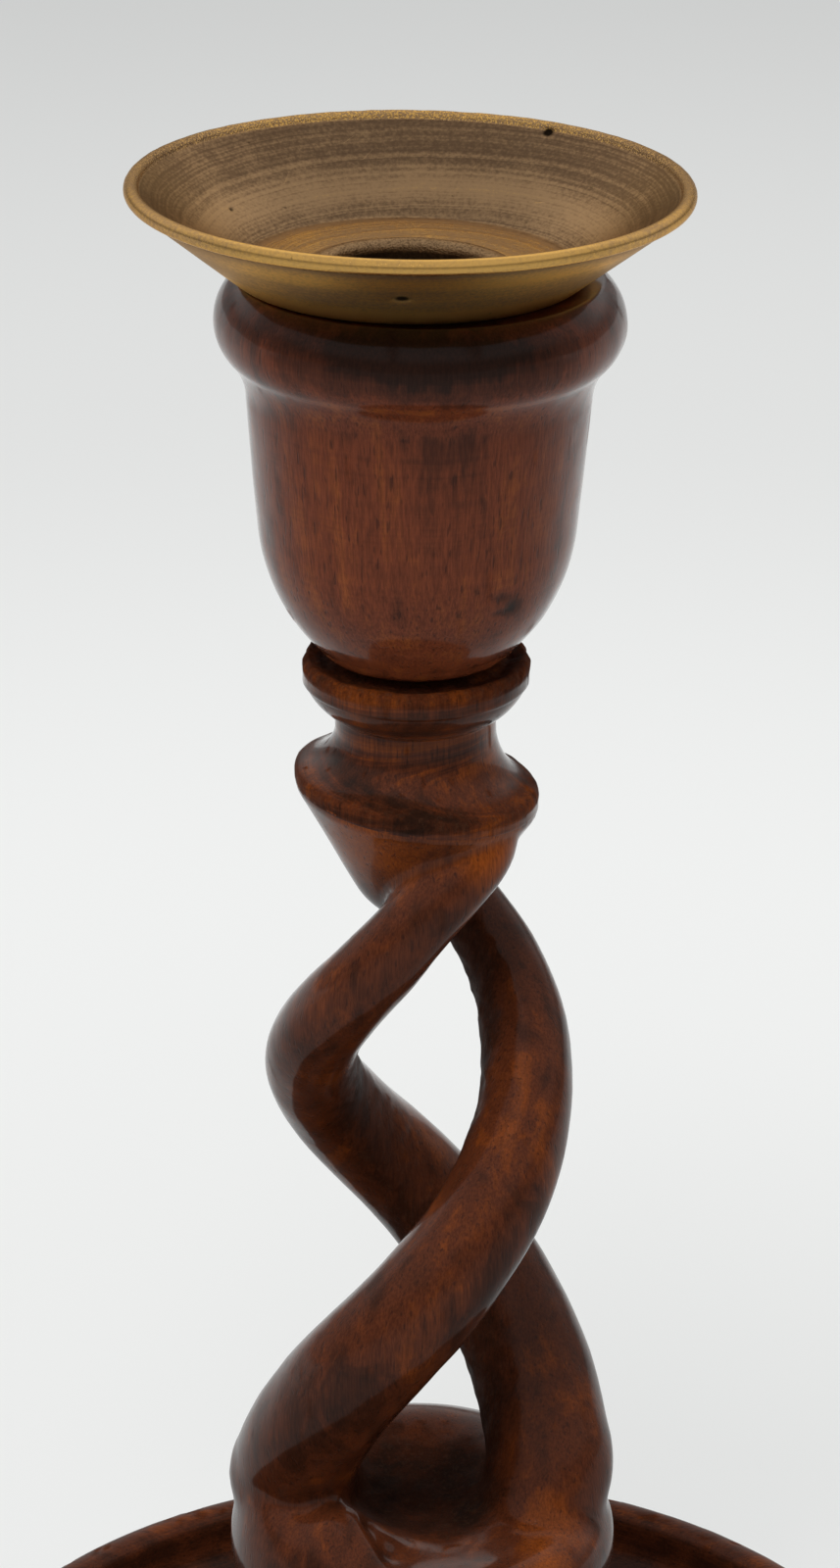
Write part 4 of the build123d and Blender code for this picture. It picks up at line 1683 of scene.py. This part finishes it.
    def carved_mesh(self) -> Mesh:
        """Foot, strands and cone as one carved skin, rounded where the strands meet bulb and cone.

        Returns:
            The mesh.
        """
        foot, head = StemFoot(), StemHead()
        surface = foot.surface().joined(head.leaned(turned_surface(head.cone_profile(), head.cone_columns)))
        for strand in self.strands:
            surface = surface.joined(self.strand_surface(strand))
        rough = bpy.data.objects.new("stem_rough", mesh_of("stem_rough", surface))
        bpy.context.scene.collection.objects.link(rough)
        remesh = rough.modifiers.new("skin", "REMESH")
        remesh.mode = "VOXEL"
        remesh.voxel_size = self.voxel * MM
        remesh.use_smooth_shade = True
        evaluated = rough.evaluated_get(bpy.context.evaluated_depsgraph_get())
        mesh = bpy.data.meshes.new_from_object(evaluated)
        mesh.name = "twist_stem_carving"
        bpy.data.objects.remove(rough)
        edges = mesh_edges(mesh)
        places = corner_places(mesh)
        bulb_joint = plateau(places[:, 2], self.bulb_joint)
        ridge = bulb_joint * bell(from_axis(places), foot.hollow, foot.ridge_reach)
        joint = np.maximum(bulb_joint, 0.5 * plateau(places[:, 2], self.cone_joint))
        pull = 0.2 + 0.35 * joint
        rounds, joint_rounds = self.smoothing
        for turn in range(rounds):
            places += pull[:, None] * (neighbour_mean(places, edges) - places)
            pull = 0.55 * (joint if turn < joint_rounds else ridge)
        place_corners(mesh, places)
        return mesh

    def build_carving(self) -> Piece:
        """Builds the strands, bulb and foot: carved skin, with tool marks on the inner faces; those faces and
        the bulb's hollow are darker, partly torn grain and partly painted shade.

        Returns:
            The piece.
        """
        mesh = self.carved_mesh()
        points, normals = corner_places(mesh), corner_normals(mesh)
        level, reach = points[:, 2], from_axis(points)
        wave = LatticeNoise(33)
        facing_in = -np.sum(points[:, :2] * normals[:, :2], axis=-1) / np.maximum(reach, 0.1)
        twist = eased(level, *self.carved_levels)
        edge_reach = reach + 1.6 * wave.at(points, 3.0)
        hollow = eased(level, *self.hollow_levels) * (1.0 - twist)
        hollow *= 1.0 - eased(edge_reach, *self.hollow_reach)
        cut = held(eased(facing_in, 0.15, 0.8) * twist + hollow)
        tone, depth = blotched(points, self.stains_and_shade)
        # Darker inner faces and hollow: partly torn grain, partly painted shade.
        tone += 0.35 * wave.at(points, (5.0, 5.0, 7.0)) - 0.55 * cut - 0.15 * hollow
        sink = 0.05 * wave.at(points, (4.0, 4.0, 6.0)) + 0.012 * wave.at(points, (0.9, 0.9, 2.0)) - depth
        sink += cut * (0.14 * wave.at(points, (1.8, 1.8, 1.0)) + 0.05 * wave.at(points, 0.7))
        away = neighbour_mean(points, mesh_edges(mesh)) - points
        edge = held(-np.sum(away * normals, axis=-1) / (0.06 * self.voxel))
        flecks = eased(wave.at(points, (0.9, 0.9, 3.5)), 0.6, 0.85)
        place_corners(mesh, HandTurning().settled(points + sink[:, None] * normals))
        masks = {
            "tone": tone,
            "torn": held(0.35 * cut + 0.3 * hollow + 0.2 * flecks),
            "turned": 1.0 - eased(level, *self.turned_levels),
            "wear_and_painted_light": held(0.25 + 0.6 * edge),
        }
        return set_piece("twist_stem_carving", mesh, Standing(Body.STAND, Slot.STEM, "twist_stem"), masks)

    def build_head(self) -> Piece:
        """Builds the ring, neck and collar: a turned skin with a torn, dished collar top.

        Returns:
            The piece.
        """
        head = StemHead()
        surface = head.leaned(turned_surface(head.head_profile(), self.columns))
        mesh = mesh_of("twist_stem_head", surface)
        points, level = surface.points, surface.points[:, 2]
        wave = LatticeNoise(34)
        shown = (from_axis(points) > head.tenon + 1.0) & (level > head.ring_low)
        collar = eased(level, *self.collar_levels) * shown
        ring = bell(level, head.ring_level + 0.3, 1.2) * shown
        sink = 0.04 * wave.at(points, (5.0, 5.0, 4.0)) * shown
        sink += collar * (0.16 * wave.at(points, (1.3, 1.3, 0.8)) + 0.1 * wave.at(points, 0.5))
        sink += 0.09 * ring * wave.at(points, (1.6, 1.6, 0.9))
        place_corners(mesh, HandTurning().settled(points + sink[:, None] * corner_normals(mesh)))
        stain = blotched(points, self.head_stains)[0]
        flecks = eased(wave.at(points, (0.8, 0.8, 3.0)), 0.5, 0.8)
        masks = {
            "tone": 0.2 * wave.at(points, (4.0, 4.0, 6.0)) + 0.6 * bell(level, 147.0, 2.6) + stain,
            "torn": held(0.8 * collar + 0.55 * ring + 0.3 * flecks),
            "turned": 1.0 + 0.9 * bell(level, 144.5, 3.5),
            "wear_and_painted_light": held(0.3 + 0.5 * ring + 0.3 * collar),
        }
        return set_piece("twist_stem_head", mesh, Standing(Body.STAND, Slot.STEM, "twist_stem"), masks)

    def build(self) -> list[Piece]:
        """Builds the carving and the head."""
        return [self.build_carving(), self.build_head()]

    def dress(self, pieces: list[Piece], effects: Effects) -> None:
        """Gives the stem its wood, one length with the pith to one side.

        Args:
            pieces: The pieces, as built.
            effects: The shared node groups.
        """
        figured = {"streaks": 0.4, "rings": 0.05, "clouds": 1.05}
        finish = WoodFinish("stem_wood_waxed", Grain.UPRIGHT, (-0.019, 0.024, 0.0), dust=0.04, **figured)
        material = finish.material(effects)
        for piece in pieces:
            piece.data.materials.append(material)


@dataclass
class BaseDish:
    """Turned dish base with a rounded rim."""

    level: float = 1.0  # Underside of the base.
    rim: float = 60.0  # Outer radius.
    rim_wall: float = 4.0  # Thickness of the rim.
    height: float = 14.8  # Height of the base.
    floor: float = 6.5  # Thickness of the floor.
    foot: float = 54.0  # Radius of the underside.
    foot_step: float = 1.6  # Height of the upright step over it.
    side: float = 3.4  # Height of the upright band under the rim.
    cove: float = 4.0  # Radius between floor and rim.
    screw_hole: float = 2.15  # Radius of the hole for the screw.
    screw_head: float = 4.05  # Radius of its countersink at the underside.
    screw_head_level: float = 3.2  # Level of the countersink's end.
    mortise: float = 8.05  # Radius of the mortise for the stem.
    mortise_level: float = 3.95  # Level of its floor.
    plinth: float = 20.0  # Radius of the stem's plinth, which hides the floor under it.
    columns: int = 360  # Points round the axis.

    def profile(self) -> Array:
        """Outline of the base, from the screw hole out under the foot, over the rim and in to the mortise.

        Returns:
            The points (radius, height).
        """
        floor = self.level + self.floor
        rim_level = self.level + self.height - self.rim_wall / 2.0
        inner = self.rim - self.rim_wall
        outline = TurnedProfile(self.screw_hole, self.mortise_level, step=0.55)
        outline.line(self.screw_hole, self.screw_head_level).line(self.screw_head, self.level)
        outline.line(self.foot, self.level).line(self.foot, self.level + self.foot_step)
        outline.arc(self.rim, rim_level - self.side, arriving=UP)
        outline.line(self.rim, rim_level).arc(inner, rim_level, leaving=UP)
        outline.line(inner, floor + self.cove).arc(inner - self.cove, floor, leaving=DOWN)
        outline.line(self.mortise, floor).line(self.mortise, self.mortise_level)
        return outline.line(self.screw_hole, self.mortise_level).points[:-1]

    def build(self) -> Piece:
        """Builds the base: a turned skin, worn and with a painted highlight on the rim, darker in the dish's
        inner corner and round the plinth from stain and painted shade.

        Returns:
            The piece.
        """
        surface = turned_surface(self.profile(), self.columns)
        mesh = mesh_of("base_dish_wood", surface)
        points, normals = surface.points, corner_normals(mesh)
        wave = LatticeNoise(41)
        reach, rise = from_axis(points), points[:, 2] - self.level
        shown = (reach > self.plinth + 1.0) & (rise > 0.2)
        rim = bell(rise, self.height, 1.6)
        nicks = eased(wave.at(points, 1.3), 0.62, 0.85) * rim
        sink = (0.1 * wave.at(points, (18.0, 18.0, 6.0)) + 0.03 * wave.at(points, 2.2)) * shown - 0.15 * nicks
        place_corners(mesh, HandTurning().settled(points + sink[:, None] * normals))
        # Painted shade darkens the dish's inner corner and the floor round the plinth; the rim is lighter,
        # worn and with a painted highlight.
        corner = bell(reach, self.rim - self.rim_wall - 2.4, 2.6) * (normals[:, 2] > 0.2)
        foot = bell(reach, self.plinth + 1.5, 3.0) * (normals[:, 2] > 0.5)
        masks = {
            "tone": 0.2 * wave.at(points, 16.0) - 0.4 * corner - 0.5 * foot + 0.35 * rim - 0.2,
            "torn": held(0.5 * nicks + 0.12 * shown),
            "turned": np.full(len(points), 0.6),
            "wear_and_painted_light": held(0.2 + 0.6 * rim),
        }
        return set_piece("base_dish_wood", mesh, Standing(Body.STAND, Slot.BASE, "base_dish"), masks)

    def dress(self, piece: Piece, effects: Effects) -> None:
        """Gives the base its wood, the fibres lying across it, and the screw under it its steel.

        Args:
            piece: The piece, as built.
            effects: The shared node groups.
        """
        finish = WoodFinish("base_wood_waxed", Grain.ACROSS, (0.03, 0.012, 0.0), dust=0.25)
        piece.data.materials.append(finish.material(effects))
        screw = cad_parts["base_screw"]
        screw.data.materials.clear()
        screw.data.materials.append(SteelFinish().material(effects))
        LOG.info("base_screw: dressed")


@dataclass
class BaizePad:
    """Felt disc glued under the base."""

    radius: float = 52.0  # Cut radius.
    thickness: float = 1.0  # Thickness of the felt.
    columns: int = 300  # Points round the disc.

    def build(self) -> Piece:
        """Builds the felt: a disc with a soft edge, its nap a little uneven.

        Returns:
            The piece.
        """
        half = self.thickness / 2.0
        outline = TurnedProfile(0.0, 0.0, step=0.5)
        outline.line(self.radius - half, 0.0).arc(self.radius - half, self.thickness, leaving=OUTWARD)
        surface = turned_surface(outline.line(0.0, self.thickness).points, self.columns)
        mesh = mesh_of("baize_pad_felt", surface)
        points = surface.points
        edge = eased(from_axis(points), self.radius - 1.2, self.radius - 0.2)
        fray = 0.12 * LatticeNoise(51).at(points, (0.8, 0.8, 0.4)) * edge
        place_corners(mesh, points + fray[:, None] * corner_normals(mesh) * (1.0, 1.0, 0.0))
        piece = set_piece("baize_pad_felt", mesh, Standing(Body.STAND, Slot.BAIZE, "baize_pad"), {})
        return piece

    def dress(self, piece: Piece, effects: Effects) -> None:
        """Gives the pad its baize."""
        piece.data.materials.append(FeltFinish().material(effects))


@dataclass(frozen=True)
class Lamp:
    """Soft rectangular lamp that faces the middle of the object and doesn't shine in surfaces."""

    name: str  # Name of the lamp.
    place: Triple  # Its place, in metres.
    size: Pair  # Its width and height, in metres.
    power: float  # Its power, in watts.
    aim: float = 0.13  # Height that it faces, in metres.

    def build(self) -> None:
        """Adds the lamp to the scene."""
        data = bpy.data.lights.new(self.name, "AREA")
        data.shape = "RECTANGLE"
        data.size, data.size_y = self.size
        data.energy = self.power
        lamp = bpy.data.objects.new(self.name, data)
        bpy.context.scene.collection.objects.link(lamp)
        x, y, z = self.place
        flat = math.hypot(x, y)
        lamp.location = self.place
        lamp.rotation_euler = (math.atan2(flat, z - self.aim), 0.0, math.atan2(y, x) + math.pi / 2.0)
        lamp.visible_glossy = False


@dataclass
class Studio:
    """Pale floor, soft lamps and the world round the object."""

    # Floor colour as the camera sees it, by distance from the object in metres; the lower value close to the
    # object is a painted shadow.
    backdrop: tuple[Pair, ...] = (
        (0.0, 0.83),
        (0.08, 0.85),
        (0.3, 0.94),
        (0.55, 0.83),
        (1.0, 0.71),
    )
    backdrop_tint: Triple = (0.985, 1.0, 0.993)  # Slight tint of that colour.
    ambient: float = 0.15  # Strength of the world for plain light.
    surround: float = 0.8  # Brightness of the room behind the object, as metal and wax see it.
    front: float = 0.2  # Brightness of the dark room in front, as metal and wax see it.
    near_floor: float = 0.5  # Brightness of the floor in front, as metal and wax see it.
    far_floor: float = 0.95  # Brightness of the floor behind, as metal and wax see it.
    overhead: float = 0.5  # Brightness of the room above, as metal and wax see it.
    horizon: float = 0.25  # Brightness of the room low behind, as metal and wax see it.
    floor_reach: float = 6.0  # Half the floor's side, in metres.
    floor_level: float = -0.0002  # Level of the floor, in metres.
    shadow: float = 0.3  # How much of the floor's own shading the camera sees.
    lamps: tuple[Lamp, ...] = (  # The lamps.
        Lamp("lamp_top", (0.0, 0.05, 1.0), (0.9, 0.9), 1.2),
        Lamp("lamp_key", (-0.2, -0.52, 1.15), (0.5, 0.5), 12.6),
        Lamp("lamp_back", (0.3, 0.6, 0.75), (0.6, 0.6), 0.8),
        Lamp("lamp_left", (-0.85, 0.0, 0.5), (0.5, 0.9), 1.2),
        Lamp("lamp_right", (0.85, 0.0, 0.5), (0.5, 0.9), 1.6),
    )

    def build_floor(self) -> None:
        """Builds the floor: plain diffuse for light, mostly its pale colour for the camera and metal.

        Metal and wax see it fade from pale behind and beside the object to the dark room in front.
        """
        mesh = bpy.data.meshes.new("floor")
        sides = ((-1.0, -1.0), (1.0, -1.0), (1.0, 1.0), (-1.0, 1.0))
        corners = [(x * self.floor_reach, y * self.floor_reach, self.floor_level) for x, y in sides]
        mesh.from_pydata(corners, [], [(0, 1, 2, 3)])
        floor = bpy.data.objects.new("floor", mesh)
        bpy.context.scene.collection.objects.link(floor)
        material, bench = new_material("floor_pale")
        place = bench.place()
        across, depth = bench.axes(place)[:2]
        low, high = self.backdrop[0][0], self.backdrop[-1][0]
        share = bench.straight(bench.length(place), low, high, 0.0, 1.0)
        stops = [
            ((far - low) / (high - low), tuple(tone * part for part in self.backdrop_tint))
            for far, tone in self.backdrop
        ]
        pale = bench.ramp(share, stops)
        light = bench.node("ShaderNodeLightPath").outputs
        plain = bench.node("ShaderNodeBsdfDiffuse", {"Color": (0.8, 0.8, 0.79, 1.0)})
        aside = bench.times(bench.math("ABSOLUTE", bench.add(across, 0.05)), 0.2)
        mirrored = bench.range(bench.add(depth, aside), -0.05, 0.42, self.near_floor, self.far_floor)
        strength = bench.larger(mirrored, light["Is Camera Ray"])
        glow = bench.node("ShaderNodeEmission", {"Color": pale, "Strength": strength})
        seen = bench.larger(light["Is Camera Ray"], light["Is Glossy Ray"])
        seen = bench.larger(seen, light["Is Transmission Ray"])
        glowing = bench.minus(seen, bench.times(light["Is Camera Ray"], self.shadow))
        shaders = {0: glowing, 1: plain.outputs[0], 2: glow.outputs[0]}
        bench.put_out(bench.node("ShaderNodeMixShader", shaders))
        mesh.materials.append(material)

    def build_world(self) -> None:
        """Sets the world: pale to the camera, dim as plain light, and a room to metal and wax.

        That room is dark in front and pale behind.
        """
        world = bpy.data.worlds.new("tent")
        bpy.context.scene.world = world
        world.use_nodes = True
        world.node_tree.nodes.clear()
        bench = NodeBench(world.node_tree)
        light = bench.node("ShaderNodeLightPath").outputs
        way = bench.axes(bench.node("ShaderNodeTexCoord").outputs["Generated"])
        pale = bench.range(way["Z"], 0.1, 0.35, self.horizon, self.surround)
        behind = bench.straight(way["Y"], -0.1, 0.6, self.front, pale)
        above = bench.range(way["Z"], 0.1, 0.5, 0.0, self.overhead)
        shines = bench.larger(light["Is Glossy Ray"], light["Is Transmission Ray"])
        strength = bench.straight(shines, 0.0, 1.0, self.ambient, bench.larger(behind, above))
        strength = bench.straight(light["Is Camera Ray"], 0.0, 1.0, strength, self.backdrop[-1][1])
        back = bench.node("ShaderNodeBackground", {"Color": (1.0, 0.995, 0.985, 1.0), "Strength": strength})
        bench.put_out(back, "ShaderNodeOutputWorld")

    def build(self) -> None:
        """Builds the floor, the world and the lamps."""
        self.build_floor()
        self.build_world()
        for lamp in self.lamps:
            lamp.build()
        LOG.info("studio: floor, world and %d lamps", len(self.lamps))


@dataclass
class PhotoCamera:
    """Camera at the viewing angle of the photograph."""

    target: float = 0.1395  # Point on the axis that it looks at, in metres.
    distance: float = 0.5376  # Distance to that point, in metres.
    elevation_deg: float = 23.2  # Angle above the horizon.
    lens: float = 112.5  # Focal length for a 36 mm long side.
    side: float = -0.00015  # Sideways place, in metres.

    def build(self) -> None:
        """Makes the camera and gives it to the scene."""
        data = bpy.data.cameras.new("photo_camera")
        data.sensor_width = 36.0
        data.lens = self.lens
        data.clip_start = 0.02
        data.clip_end = 30.0
        camera = bpy.data.objects.new("photo_camera", data)
        bpy.context.scene.collection.objects.link(camera)
        tilt = math.radians(self.elevation_deg)
        camera.location = (
            self.side,
            -self.distance * math.cos(tilt),
            self.target + self.distance * math.sin(tilt),
        )
        camera.rotation_euler = (math.pi / 2.0 - tilt, 0.0, 0.0)
        bpy.context.scene.camera = camera


def main() -> None:
    """Builds every piece, the studio and the camera."""
    logging.basicConfig(level=logging.INFO, format="%(name)s %(message)s")
    bpy.context.scene.view_settings.view_transform = "Standard"
    effects = Effects()
    for part in (Sconce(), CandleCup(), TwistStem(), BaseDish(), BaizePad()):
        part.dress(part.build(), effects)
    Studio().build()
    PhotoCamera().build()


if __name__ == "__main__":
    main()
